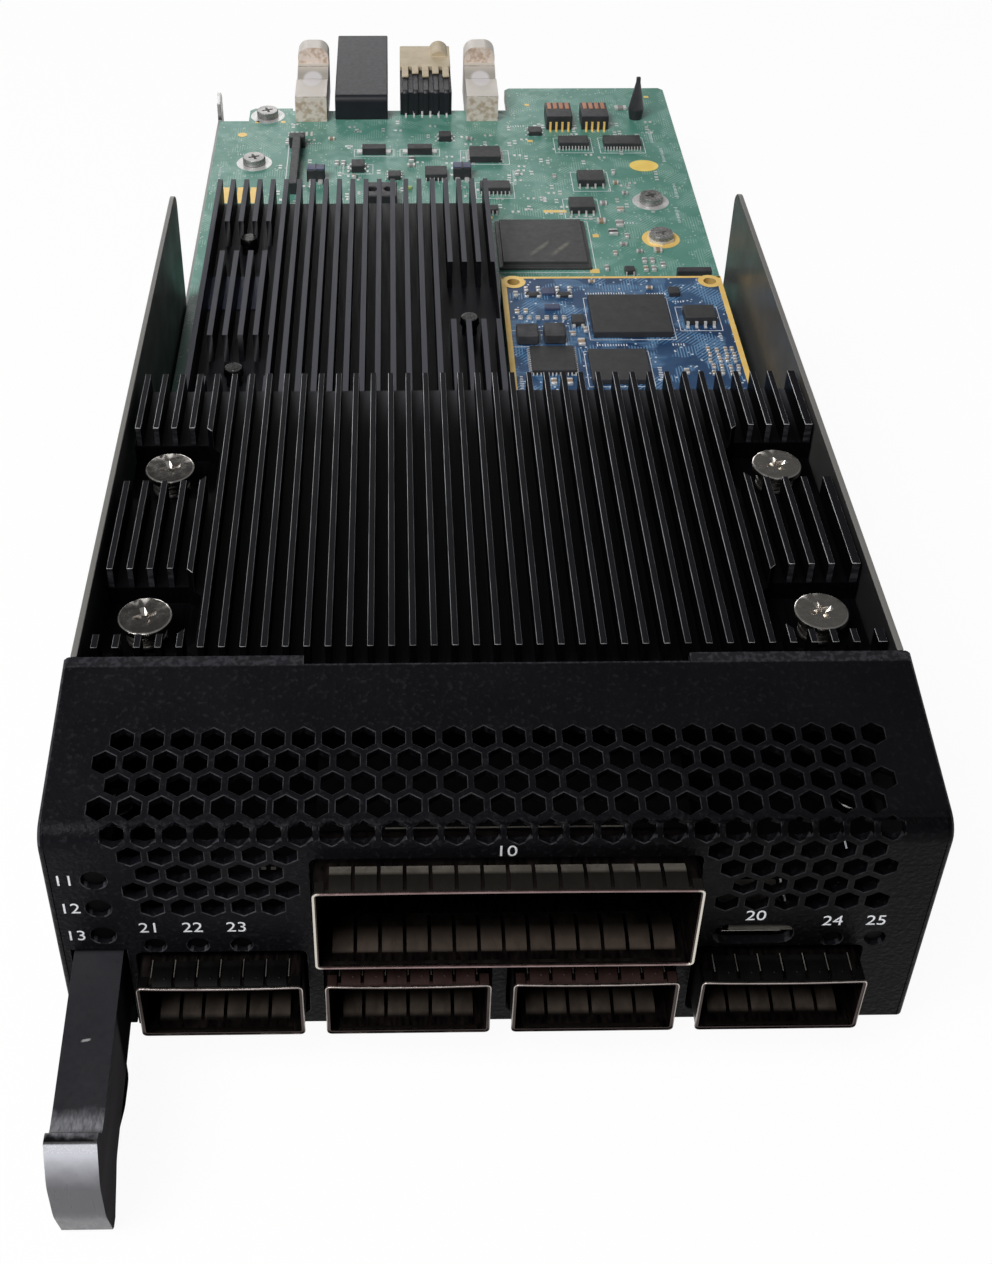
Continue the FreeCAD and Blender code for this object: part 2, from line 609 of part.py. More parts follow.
def front_panel():
    outer = side_profile([
        (0, 0, 0),
        *folded_corner(0, FACE_HEIGHT, BEND_SETBACK),
        (HOOD_RUN, HOOD_TOP, 0),
        (HOOD_RUN, HOOD_TOP - CHEEK_REAR_DROP, 0),
        (CHEEK_FOOT_DEPTH, 0, 0),
    ], -HALF, HALF)
    beyond = HOOD_RUN + OVERCUT
    drop = PANEL_SHEET / math.cos(SLOPE)
    inner = side_profile([
        (PANEL_SHEET, -OVERCUT, 0),
        *folded_corner(PANEL_SHEET, FACE_HEIGHT + PANEL_SHEET * math.tan(SLOPE) - drop,
                       BEND_SETBACK - PANEL_SHEET * math.tan((math.pi / 2 - SLOPE) / 4)),
        (beyond, FACE_HEIGHT + beyond * math.tan(SLOPE) - drop, 0),
        (beyond, -OVERCUT, 0),
    ], -TRAY_HALF, TRAY_HALF)
    recess = box(HOOD_RECESS_LEFT, HOOD_RECESS_RIGHT, HOOD_RUN - HOOD_RECESS_DEPTH, beyond,
                 HOOD_TOP - CHEEK_REAR_DROP, HOOD_TOP + OVERCUT)
    panel = outer.cut(inner).cut(recess)
    return cut_all(cut_all(panel, window_cutters()), vent_cutters())


def light_pipes():
    """Clear rods behind the light holes, on a carrier at the wall and bars at the board's edge."""
    front = PIPE_RECESS
    shapes = []
    carrier_front = BOARD_FRONT - PIPE_BAR_DEPTH
    low = COLUMN_LIGHT_Z[-1] - PIPE_MARGIN
    high = COLUMN_LIGHT_Z[0] + PIPE_MARGIN
    pieces = [box(-TRAY_INNER, COLUMN_LIGHT_X + PIPE_MARGIN, carrier_front, BOARD_FRONT, low, high)]
    for z in COLUMN_LIGHT_Z:
        pieces.append(plain_rod_y(COLUMN_LIGHT_X, z, front, carrier_front, COLUMN_PIPE_RADIUS, PIPE_SIDES))
    shapes.append(fuse(pieces))
    for group in (LEFT_LIGHTS, RIGHT_LIGHTS):
        pieces = [box(group[0] - PIPE_MARGIN, group[-1] + PIPE_MARGIN, carrier_front, BOARD_FRONT,
                      BOARD_FOOT, BOARD_TOP)]
        for x in group:
            pieces.append(plain_rod_y(x, ROW_LIGHT_Z, front, carrier_front, ROW_PIPE_RADIUS, PIPE_SIDES))
        shapes.append(fuse(pieces))
    return Part.makeCompound(shapes)


def service_socket():
    half = SLOT_LENGTH / 2 - SERVICE_SIDE_GAP
    wall = SERVICE_WALL
    low = SLOT_Z - SLOT_HEIGHT / 2 + SERVICE_TOP_GAP
    high = SLOT_Z + SLOT_HEIGHT / 2 - SERVICE_TOP_GAP
    rear = BOARD_FRONT - SERVICE_FLOOR
    shell = box(SLOT_X - half, SLOT_X + half, PANEL_SHEET + SERVICE_FACE_GAP, BOARD_FRONT, low, high)
    cavity = box(SLOT_X - half + wall, SLOT_X + half - wall, 0, rear, low + wall, high - wall)
    half -= SERVICE_TONGUE_INSET
    tongue = box(SLOT_X - half, SLOT_X + half, PANEL_SHEET + SERVICE_FLOOR, rear,
                 SLOT_Z - SERVICE_TONGUE / 2, SLOT_Z + SERVICE_TONGUE / 2)
    return shell.cut(cavity).fuse(tongue)


# ---- Tray ----
def channel(half, foot, top, fold, front, rear):
    """A block whose two lower edges are folded off at 45 degrees."""
    return front_profile([(-half, top, 0), (-half, foot + fold, 0), (-half + fold, foot, 0),
                          (half - fold, foot, 0), (half, foot + fold, 0), (half, top, 0)], front, rear)


def tray():
    front = PANEL_SHEET
    outer = channel(TRAY_HALF, 0, WALL_TOP, TRAY_FOLD, front, EAR_REAR)
    inner_fold = TRAY_FOLD - TRAY_SHEET * (2 - math.sqrt(2))
    inner = channel(TRAY_INNER, TRAY_SHEET, WALL_TOP + OVERCUT, inner_fold,
                    front - OVERCUT, EAR_REAR + OVERCUT)
    drop = PANEL_SHEET / math.cos(SLOPE)
    hood_inside = FACE_HEIGHT - drop
    step = HOOD_RUN + 0.25
    hood_cut = side_profile([
        (front - OVERCUT, hood_inside + (front - OVERCUT) * math.tan(SLOPE), 0),
        (step, hood_inside + step * math.tan(SLOPE), 0),
        (step, WALL_TOP + OVERCUT, 0),
        (front - OVERCUT, WALL_TOP + OVERCUT, 0)], -HALF, HALF)
    bend_room = box(-HALF, HALF, front - OVERCUT, front + BEND_SETBACK,
                    hood_inside - BEND_SETBACK, WALL_TOP + OVERCUT)
    rear_cut = side_profile([
        (WALL_REAR, RAIL_TOP, 0), (TRAY_REAR + 2 * OVERCUT, RAIL_TOP, 0),
        (TRAY_REAR + 2 * OVERCUT, WALL_TOP + OVERCUT, 0), (WALL_REAR, WALL_TOP + OVERCUT, 0)],
        0, HALF)
    ear_front = EAR_REAR - EAR_DEPTH
    ear_cut = side_profile([
        (WALL_REAR, RAIL_TOP, 0), (ear_front, RAIL_TOP, 0), (ear_front, EAR_TOP, 0),
        (EAR_REAR + OVERCUT, EAR_TOP, 0), (EAR_REAR + OVERCUT, WALL_TOP + OVERCUT, 0),
        (WALL_REAR, WALL_TOP + OVERCUT, 0)], -HALF, 0)
    base_cut = box(-TRAY_INNER, HALF, TRAY_REAR, EAR_REAR + OVERCUT, -OVERCUT, WALL_TOP)
    lever_slot = box(-TRAY_INNER, BRACKET_RIGHT, front - OVERCUT, LEVER_SLOT_REAR, -OVERCUT,
                     TRAY_FOLD + TRAY_SHEET)
    pin_hole = rod(-HALF, 0, PIVOT_Y, PIVOT_Z, PIVOT_PIN_RADIUS + SCREW_FIT)
    shape = outer.cut(inner)
    for cutter in (hood_cut, bend_room, rear_cut, ear_cut, base_cut, lever_slot, pin_hole):
        shape = shape.cut(cutter)
    corners = [edge for edge in shape.Edges
               if abs(edge.CenterOfMass.y - WALL_REAR) < 0.01 and abs(edge.CenterOfMass.z - WALL_TOP) < 0.01]
    shape = shape.makeFillet(WALL_CORNER, corners)
    ear_edges = [edge for edge in shape.Edges
                 if abs(edge.CenterOfMass.z - EAR_TOP) < 0.01
                 and min(abs(edge.CenterOfMass.y - EAR_REAR), abs(edge.CenterOfMass.y - ear_front)) < 0.01]
    return shape.makeChamfer(EAR_CORNER, ear_edges)


# ---- Main board ----
def main_board():
    lever_edge = BRACKET_RIGHT + BOARD_SIDE_GAP
    lever_room = LEVER_SLOT_REAR + BOARD_LEVER_GAP
    outline = [
        (lever_edge, BOARD_FRONT, 0),
        (BOARD_HALF, BOARD_FRONT, 0),
        (BOARD_HALF, WALL_REAR + BOARD_STEP_GAP, 0),
        (BOARD_WIDE_RIGHT, WALL_REAR + BOARD_STEP_GAP, 0),
        (BOARD_WIDE_RIGHT, BOARD_REAR_RIGHT - BOARD_CORNER, 0),
        (BOARD_WIDE_RIGHT - BOARD_CORNER, BOARD_REAR_RIGHT, 0),
        (BOARD_STEP_X + BOARD_CORNER, BOARD_REAR_RIGHT, 0),
        (BOARD_STEP_X, BOARD_REAR_RIGHT - BOARD_CORNER, 0),
        (BOARD_STEP_X, BOARD_REAR_MIDDLE, 0),
        (BOARD_TAB_RIGHT, BOARD_REAR_MIDDLE, 0),
        (BOARD_TAB_RIGHT, BOARD_TAB_REAR, 0),
        (BOARD_TAB_LEFT + BOARD_CORNER, BOARD_TAB_REAR, 0),
        (BOARD_TAB_LEFT, BOARD_TAB_REAR - BOARD_CORNER, 0),
        (BOARD_TAB_LEFT, BOARD_REAR_LEFT, 0),
        (-BOARD_HALF, BOARD_REAR_LEFT, 0),
        (-BOARD_HALF, lever_room, 0),
        (lever_edge, lever_room, 0),
    ]
    board = plan_profile(outline, BOARD_FOOT, BOARD_TOP)
    holes = [plain_post(x, y, 0, BOARD_TOP + 1, BOARD_SCREW_RADIUS + SCREW_FIT, SHANK_SIDES)
             for x, y in BOARD_SCREW_SPOTS]
    holes += [plain_post(x, y, 0, BOARD_TOP + 1, PUSH_PIN_RADIUS + SCREW_FIT, SHANK_SIDES)
              for x, y in PIN_SPOTS]
    return cut_all(board, holes)


def spacer(x, y, foot, top, flats, thread_end, screw_radius):
    """A hexagonal spacer, bored from its top for a screw."""
    column = plain_post(x, y, foot, top, flats, SPACER_SIDES)
    return column.cut(plain_post(x, y, thread_end, top + 1, screw_radius + SCREW_FIT, SHANK_SIDES))


def screw(x, y, tip, head_foot, head_top, shank_radius, head_radius):
    head = plain_post(x, y, head_foot, head_top, head_radius, HEAD_SIDES)
    return head.fuse(plain_post(x, y, tip, head_foot, shank_radius, SHANK_SIDES))


def board_standoffs():
    shapes = []
    for x, y in BOARD_SCREW_SPOTS:
        shapes.append(spacer(x, y, TRAY_SHEET, BOARD_FOOT, BOARD_STANDOFF_FLATS,
                             BOARD_FOOT - BOARD_STANDOFF_THREAD, BOARD_SCREW_RADIUS))
    return Part.makeCompound(shapes)


def board_screw(x, y):
    return screw(x, y, BOARD_FOOT - BOARD_SCREW_REACH, BOARD_TOP, BOARD_TOP + BOARD_SCREW_HEAD,
                 BOARD_SCREW_RADIUS, BOARD_SCREW_HEAD_RADIUS)


# ---- Port cages ----
def cage(x, width, foot, top, lip, rear):
    half = width / 2
    shell = front_profile(clipped(x - half, x + half, foot, top, CAGE_CORNER), -lip, rear)
    cavity = box(x - half + CAGE_SHEET, x + half - CAGE_SHEET, -lip - OVERCUT, rear - CAGE_SHEET,
                 foot + CAGE_SHEET, top - CAGE_SHEET)
    return shell.cut(cavity)


def wide_port_cage():
    return cage(WIDE_CAGE_X, WIDE_CAGE_WIDTH, BOARD_TOP, WIDE_CAGE_TOP, WIDE_CAGE_LIP, WIDE_CAGE_REAR)


def small_port_cage(x):
    shell = cage(x, SMALL_CAGE_WIDTH, SMALL_CAGE_FOOT, SMALL_CAGE_TOP, SMALL_CAGE_LIP, SMALL_CAGE_REAR)
    legs = []
    for side in (-1, 1):
        for y in CAGE_LEG_SETBACKS:
            legs.append(centred_box(x + side * (SMALL_CAGE_WIDTH / 2 - CAGE_LEG_INSET), y, CAGE_LEG_WIDTH,
                                    CAGE_LEG_DEPTH, SMALL_CAGE_TOP, SMALL_CAGE_DROP))
    return fuse([shell] + legs)


def host_socket(x, cage_width, foot, top, rear, depth):
    """The connector block at the back of a cage, with the slot that takes a module's card edge."""
    half = cage_width / 2 - SOCKET_SIDE_GAP
    front = rear - depth
    body = box(x - half, x + half, front, rear - CAGE_SHEET, foot + CAGE_SHEET, top - CAGE_SHEET - SOCKET_TOP_GAP)
    low = (foot + top - SOCKET_SLOT_HEIGHT) / 2
    slot = box(x - half + SOCKET_SLOT_WALL, x + half - SOCKET_SLOT_WALL, front - 1, front + SOCKET_SLOT_DEPTH,
               low, low + SOCKET_SLOT_HEIGHT)
    return body.cut(slot)


def finger_strip(x, width, top, foot, lip, count):
    """Spring fingers over the top of a cage's mouth and inside its floor, each on a lip strip."""
    pitch = (width - 2 * FINGER_EDGE) / count
    finger = pitch - FINGER_GAP
    half = width / 2 - FINGER_EDGE + FINGER_GAP
    sheet = FINGER_SHEET
    front = -lip - sheet
    upper = [box(x - half, x + half, front, -lip, top - FINGER_WRAP, top + sheet)]
    lower = [box(x - half, x + half, front, -lip, foot, foot + CAGE_SHEET + sheet)]
    inside = foot + CAGE_SHEET
    for i in range(count):
        left = x - width / 2 + FINGER_EDGE + i * pitch + FINGER_GAP / 2
        for pieces, level, reach in ((upper, top, FINGER_REACH), (lower, inside, FINGER_INNER_REACH)):
            pieces.append(box(left, left + finger, -lip, -lip + reach, level, level + sheet))
    return Part.makeCompound([fuse(upper), fuse(lower)])


# ---- Front heatsink ----
def front_heatsink():
    shapes = [box(SINK_LEFT, SINK_RIGHT, SINK_FRONT, SINK_REAR, SINK_BASE_FOOT, SINK_BASE_TOP)]
    for i in range(SINK_FIN_COUNT):
        x = SINK_FIRST_FIN + i * SINK_FIN_PITCH
        sheet = SINK_FIN_SHEET
        if i == SINK_FIN_COUNT - 1:
            x += SINK_LAST_FIN_SHIFT
            sheet = SINK_LAST_FIN_SHEET
        shapes.append(box(x - sheet / 2, x + sheet / 2, SINK_FRONT + SINK_FIN_FRONT_GAP, SINK_REAR,
                          SINK_BASE_TOP, SINK_FIN_TOP))
    sink = fuse(shapes)
    cutters = []
    for x, y in SINK_SCREW_SPOTS:
        side = math.copysign(1, x)
        left, right = sorted((x - side * POCKET_INNER, side * (HALF + OVERCUT)))
        corners = clipped(left, right, y - POCKET_FRONT, y + POCKET_REAR, POCKET_CORNER)
        cutters.append(plan_profile(corners, SINK_POCKET_Z, SINK_FIN_TOP + 1))
        cutters.append(plain_post(x, y, SINK_BASE_FOOT - 1, SINK_FIN_TOP, SINK_HOLE_RADIUS, SHANK_SIDES))
    return cut_all(sink, cutters)


def thermal_pad():
    half = WIDE_CAGE_WIDTH / 2 - PAD_MARGIN
    return box(WIDE_CAGE_X - half, WIDE_CAGE_X + half, SINK_FRONT + PAD_MARGIN, WIDE_CAGE_REAR - PAD_MARGIN,
               WIDE_CAGE_TOP, SINK_BASE_FOOT)


def sink_screw(x, y):
    return screw(x, y, SINK_SHANK_TIP, SINK_HEAD_TOP - SINK_HEAD_SHEET, SINK_HEAD_TOP,
                 SINK_SHANK_RADIUS, SINK_HEAD_RADIUS)


def sink_spring(x, y):
    """The closed outer form of the coil between the pocket's floor and the screw's head."""
    top = SINK_HEAD_TOP - SINK_HEAD_SHEET
    sleeve = plain_post(x, y, SINK_POCKET_Z, top, SPRING_RADIUS, SPRING_SIDES)
    return sleeve.cut(plain_post(x, y, SINK_POCKET_Z - 1, top + 1, SPRING_RADIUS - SPRING_WIRE, SPRING_SIDES))


def sink_standoffs():
    shapes = []
    for x, y in SINK_SCREW_SPOTS:
        shapes.append(spacer(x, y, BOARD_TOP, SINK_BASE_FOOT, SINK_STANDOFF_FLATS,
                             SINK_SHANK_TIP - SCREW_TIP_ROOM, SINK_SHANK_RADIUS))
    return Part.makeCompound(shapes)


# ---- Rear heatsink ----
def rear_heatsink():
    shapes = [box(REAR_SINK_LEFT, REAR_SINK_RIGHT, REAR_SINK_FRONT, REAR_SINK_REAR,
                  REAR_SINK_FOOT, REAR_SINK_BASE_TOP)]
    for i in range(REAR_FIN_COUNT):
        x = REAR_FIRST_FIN + i * REAR_FIN_PITCH
        shapes.append(box(x - REAR_FIN_SHEET / 2, x + REAR_FIN_SHEET / 2, REAR_SINK_FRONT, REAR_SINK_REAR,
                          REAR_SINK_BASE_TOP, REAR_FIN_TOP))
    sink = fuse(shapes)
    cutters = []
    for (x, y), (*_, front, rear, half) in zip(PIN_SPOTS, PUSH_PINS):
        cutters.append(box(x - half, x + half, y - front, y + rear, REAR_SINK_BASE_TOP, REAR_FIN_TOP + 1))
        cutters.append(plain_post(x, y, REAR_SINK_FOOT - 1, REAR_FIN_TOP,
                                  PUSH_PIN_RADIUS + SCREW_FIT, SHANK_SIDES))
    return cut_all(sink, cutters)


def push_pin(x, y):
    head_foot = PUSH_PIN_TOP - PUSH_PIN_HEAD
    tail = plain_post(x, y, BOARD_FOOT - PUSH_PIN_TAIL, REAR_SINK_BASE_TOP, PUSH_PIN_RADIUS, SHANK_SIDES)
    collar = plain_post(x, y, REAR_SINK_BASE_TOP, head_foot, PUSH_PIN_COLLAR_RADIUS, SHANK_SIDES)
    head = plain_post(x, y, head_foot, PUSH_PIN_TOP, PUSH_PIN_HEAD_RADIUS, HEAD_SIDES)
    return fuse([tail, collar, head])


def processor():
    carrier = centred_box(PROCESSOR_X, PROCESSOR_Y, PROCESSOR_SIZE, PROCESSOR_SIZE, BOARD_TOP, PROCESSOR_CARRIER)
    lid = PROCESSOR_SIZE - 2 * PROCESSOR_LID_MARGIN
    return carrier.fuse(centred_box(PROCESSOR_X, PROCESSOR_Y, lid, lid, BOARD_TOP + PROCESSOR_CARRIER,
                                    PROCESSOR_HEIGHT - PROCESSOR_CARRIER))


def sink_label():
    """Thin plain film on the rear heatsink's floor, between the fins on its left."""
    shapes = []
    front = REAR_SINK_FRONT + LABEL_SETBACK
    for i in range(int(LABEL_WIDTH / REAR_FIN_PITCH)):
        left = REAR_FIRST_FIN + i * REAR_FIN_PITCH + REAR_FIN_SHEET / 2
        right = left + REAR_FIN_PITCH - REAR_FIN_SHEET
        shapes.append(box(left, right, front, front + LABEL_LENGTH, REAR_SINK_BASE_TOP,
                          REAR_SINK_BASE_TOP + LABEL_SHEET))
    return Part.makeCompound(shapes)


# ---- Module board ----
def module_board():
    board = box(MODULE_LEFT, MODULE_RIGHT, MODULE_FRONT, MODULE_REAR, MODULE_FOOT, MODULE_TOP)
    return cut_all(board, [post(x, y, MODULE_FOOT - 1, MODULE_TOP + 1, MODULE_HOLE_RADIUS)
                           for x, y in MODULE_SPOTS])


def module_standoffs():
    shapes = []
    for x, y in MODULE_SPOTS:
        shapes.append(spacer(x, y, BOARD_TOP, MODULE_FOOT, MODULE_STANDOFF_FLATS,
                             BOARD_TOP + MODULE_STANDOFF_FLOOR, MODULE_HOLE_RADIUS))
    return Part.makeCompound(shapes)


def module_connector():
    x = (MODULE_LEFT + MODULE_RIGHT) / 2
    return centred_box(x, MODULE_FRONT + MODULE_CONNECTOR_SETBACK, MODULE_CONNECTOR_WIDTH, MODULE_CONNECTOR_DEPTH,
                       BOARD_TOP, MODULE_FOOT - BOARD_TOP)


def chips(rows, foot, corner_x=0, corner_y=0):
    return Part.makeCompound([centred_box(corner_x + x, corner_y + y, width, depth, foot, height)
                              for x, y, width, depth, height in rows])


def large_chip():
    x, y, width, depth, height = LARGE_CHIP
    carrier = centred_box(x, y, width, depth, BOARD_TOP, LARGE_CHIP_CARRIER)
    body = centred_box(x, y, width - 2 * LARGE_CHIP_STEP, depth - 2 * LARGE_CHIP_STEP,
                       BOARD_TOP + LARGE_CHIP_CARRIER, height - LARGE_CHIP_CARRIER)
    return carrier.fuse(body)


def terminal_socket():
    x, y, width, depth, height = TERMINAL
    body = centred_box(x, y, width, depth, BOARD_TOP, height)
    holes = [plain_post(x + side * TERMINAL_HOLE_SPREAD, y, BOARD_TOP + height - TERMINAL_HOLE_DEPTH,
                        BOARD_TOP + height + 1, TERMINAL_HOLE_RADIUS, SPRING_SIDES) for side in (-1, 1)]
    return cut_all(body, holes)


def pin_header():
    x, y, width, depth, height = PIN_HEADER
    strip = centred_box(x, y, width, depth, BOARD_TOP, height)
    cap = centred_box(x, y + (depth - HEADER_CAP) / 2, 2 * width, HEADER_CAP, BOARD_TOP, height)
    return strip.fuse(cap)


# ---- Rear connectors ----
def over_board_edge(left, right, front, rear, top, edge_radius):
    """The side-on outline of a connector that stands on the board and hangs over its rear edge."""
    edge = BOARD_REAR_MIDDLE + CONNECTOR_NOTCH_GAP
    return side_profile([
        (front, BOARD_TOP, 0), (edge, BOARD_TOP, 0), (edge, CONNECTOR_FOOT, 0), (rear, CONNECTOR_FOOT, 0),
        (rear, top, 0), (front, top, edge_radius)], left, right)


def power_connector():
    body = over_board_edge(POWER_LEFT, POWER_RIGHT, POWER_FRONT, POWER_REAR, POWER_TOP, POWER_EDGE)
    wall = POWER_CAVITY_WALL
    middle = (POWER_LEFT + POWER_RIGHT) / 2
    cavities = []
    for left, right in ((POWER_LEFT + wall, middle - wall / 2), (middle + wall / 2, POWER_RIGHT - wall)):
        cavities.append(box(left, right, POWER_REAR - POWER_CAVITY_DEPTH, POWER_REAR + 1,
                            CONNECTOR_FOOT + wall, POWER_TOP - wall))
    return cut_all(body, cavities)


def signal_wafers():
    body = over_board_edge(SIGNAL_LEFT, SIGNAL_RIGHT, SIGNAL_FRONT, SIGNAL_SPLIT, SIGNAL_TOP - SIGNAL_RIB_RISE, 0)
    pitch = (SIGNAL_RIGHT - SIGNAL_LEFT) / SIGNAL_RIBS
    ribs = [body]
    for i in range(SIGNAL_RIBS):
        x = SIGNAL_LEFT + (i + 0.5) * pitch
        front = SIGNAL_FRONT - SIGNAL_RIB_REACH
        ribs.append(side_profile([
            (front, BOARD_TOP, 0), (SIGNAL_SPLIT, BOARD_TOP, 0), (SIGNAL_SPLIT, SIGNAL_TOP, 0),
            (front + SIGNAL_RIB_CLIP, SIGNAL_TOP, 0), (front, SIGNAL_TOP - SIGNAL_RIB_CLIP, 0)],
            x - SIGNAL_RIB_WIDTH / 2, x + SIGNAL_RIB_WIDTH / 2))
    return fuse(ribs)


def signal_housing():
    top = SIGNAL_TOP + HOUSING_RISE
    pieces = [box(SIGNAL_LEFT, SIGNAL_RIGHT, SIGNAL_SPLIT, SIGNAL_REAR, CONNECTOR_FOOT, top)]
    pitch = (SIGNAL_RIGHT - SIGNAL_LEFT) / SIGNAL_RIBS
    for i in range(SIGNAL_RIBS):
        x = SIGNAL_LEFT + (i + 0.5) * pitch
        reach = COMB_LONG if i % 2 == 0 else COMB_SHORT
        pieces.append(box(x - COMB_TOOTH_WIDTH / 2, x + COMB_TOOTH_WIDTH / 2, SIGNAL_SPLIT - reach, SIGNAL_SPLIT,
                          SIGNAL_TOP, top))
    key = bore_y(KEY_X, top - KEY_SINK, SIGNAL_REAR - KEY_LENGTH, SIGNAL_REAR, KEY_RADIUS)
    key = key.common(box(SIGNAL_LEFT, SIGNAL_RIGHT, SIGNAL_SPLIT, SIGNAL_REAR, top, top + KEY_RADIUS))
    return fuse(pieces + [key])


def guide(x):
    """A die-cast guide: a block on the board's edge, a valley in its top and a rounded rear plate with a bore."""
    half = GUIDE_WIDTH / 2
    edge = BOARD_TAB_REAR + CONNECTOR_NOTCH_GAP
    block = side_profile([
        (GUIDE_FRONT, BOARD_TOP, 0), (edge, BOARD_TOP, 0), (edge, CONNECTOR_FOOT, 0),
        (GUIDE_REAR, CONNECTOR_FOOT, 0), (GUIDE_REAR, GUIDE_TOP, 0), (GUIDE_FRONT, GUIDE_TOP, 0)],
        x - half, x + half)
    plate = front_profile([
        (x - half, CONNECTOR_FOOT, 0), (x + half, CONNECTOR_FOOT, 0),
        (x + half, GUIDE_PLATE_TOP, GUIDE_PLATE_CORNER), (x - half, GUIDE_PLATE_TOP, GUIDE_PLATE_CORNER)],
        GUIDE_PLATE_FRONT, GUIDE_REAR)
    middle = (GUIDE_DISH_FRONT + GUIDE_DISH_REAR) / 2
    dish = side_profile([(GUIDE_DISH_FRONT, GUIDE_TOP, 0), (middle, GUIDE_TOP - GUIDE_DISH_DEPTH, 0),
                         (GUIDE_DISH_REAR, GUIDE_TOP, 0)], x - half, x + half)
    bore = bore_y(x, GUIDE_BORE_Z, GUIDE_REAR - GUIDE_BORE_DEPTH, GUIDE_REAR + 1, GUIDE_BORE_RADIUS)
    return block.fuse(plate).cut(dish).cut(bore).removeSplitter()


# ---- Ejector lever ----
def polar(radius, degrees):
    angle = math.radians(degrees)
    return PIVOT_Y + radius * math.cos(angle), PIVOT_Z + radius * math.sin(angle)


def ejector_lever():
    arm = side_profile([
        (PIVOT_Y, LEVER_ROOT_TOP - 0.6, 0),
        (0, LEVER_ROOT_TOP, 2.0),
        (-LEVER_NECK, LEVER_NECK_TOP, 4.0),
        (-LEVER_NECK - 2.0, LEVER_NECK_TOP - 0.2, 0.8),
        (-NOSE_LIP + 0.7, NOSE_LIP_TOP, 0.5),
        (-NOSE_LIP - 0.6, NOSE_LIP_TOP, 0.6),
        (-NOSE_FRONT + 0.1, NOSE_FRONT_Z + 3.0, 6.0),
        (-NOSE_FRONT, NOSE_FRONT_Z - 3.0, 8.0),
        (-NOSE_FOOT, NOSE_FOOT_Z + NOSE_FOOT_CLIP, 0),
        (-NOSE_FOOT + NOSE_FOOT_CLIP, NOSE_FOOT_Z, 0),
        (-NOSE_REAR - NOSE_FOOT_CLIP, NOSE_FOOT_Z, 0),
        (-NOSE_REAR, NOSE_FOOT_Z + NOSE_FOOT_CLIP, 0),
        (-LEVER_NECK - 0.4, -1.2, 2.0),
        (-LEVER_NECK + 1.2, LEVER_NECK_FOOT, 2.5),
        (0, LEVER_ROOT_FOOT, 2.0),
        (PIVOT_Y, LEVER_ROOT_FOOT - 0.2, 0),
    ], LEVER_LEFT, LEVER_RIGHT)
    hub = rod(LEVER_LEFT, LEVER_RIGHT, PIVOT_Y, PIVOT_Z, HUB_RADIUS)
    cam = side_profile([
        (PIVOT_Y, PIVOT_Z, 0),
        polar(CAM_RADIUS, CAM_ANGLE - CAM_HALF_ANGLE) + (0,),
        polar(CAM_RADIUS, CAM_ANGLE + CAM_HALF_ANGLE) + (0,),
    ], LEVER_LEFT, LEVER_RIGHT)
    bore = rod(LEVER_LEFT - 1, LEVER_RIGHT + 1, PIVOT_Y, PIVOT_Z, PIVOT_PIN_RADIUS + PIVOT_CLEARANCE)
    return fuse([arm, hub, cam]).cut(bore)


def lever_foot(forward):
    """Height of the lever's underside at `forward` in front of the faceplate."""
    share = forward / (LEVER_NECK - 1.2)
    return LEVER_ROOT_FOOT + share * (LEVER_NECK_FOOT - LEVER_ROOT_FOOT)


def lever_grip():
    """The rounded finger pad under the lever's arm."""
    left = LEVER_LEFT + GRIP_SIDE_INSET
    right = LEVER_RIGHT - GRIP_SIDE_INSET
    return side_profile([
        (-GRIP_REAR, lever_foot(GRIP_REAR), 0),
        (-GRIP_REAR - 0.2, GRIP_FOOT + 0.2, 1.6),
        (-GRIP_REAR - 4.6, GRIP_FOOT, 4.0),
        (-GRIP_FRONT, lever_foot(GRIP_FRONT), 0),
    ], left, right)


def lever_bracket():
    """An angle on the tray's floor whose upright ear carries the pin's inner end."""
    foot = TRAY_SHEET
    ear = side_profile([
        (BRACKET_FRONT, foot, 0),
        (BRACKET_REAR, foot, 0),
        (BRACKET_REAR, foot + BRACKET_SHEET + 2.0, 1.5),
        (PIVOT_Y + BRACKET_RADIUS, PIVOT_Z + BRACKET_RADIUS, BRACKET_RADIUS - 0.1),
        (PIVOT_Y - BRACKET_RADIUS, PIVOT_Z + BRACKET_RADIUS, BRACKET_RADIUS - 0.1),
    ], BRACKET_LEFT, BRACKET_RIGHT)
    flange = box(BRACKET_LEFT, BRACKET_RIGHT + BRACKET_FOOT_LENGTH, BRACKET_FOOT_FRONT, BRACKET_REAR,
                 foot, foot + BRACKET_SHEET)
    bore = rod(BRACKET_LEFT - 1, BRACKET_RIGHT + 1, PIVOT_Y, PIVOT_Z, PIVOT_PIN_RADIUS + SCREW_FIT)
    return ear.fuse(flange).cut(bore)


def lever_pin():
    shaft = rod(-TRAY_HALF, BRACKET_RIGHT, PIVOT_Y, PIVOT_Z, PIVOT_PIN_RADIUS)
    head = regular_prism(Vector(BRACKET_RIGHT, PIVOT_Y, PIVOT_Z), Vector(1, 0, 0), Vector(0, 0, 1),
                         PIN_HEAD_RADIUS, HEAD_SIDES, PIN_HEAD_SHEET)
    return shaft.fuse(head)


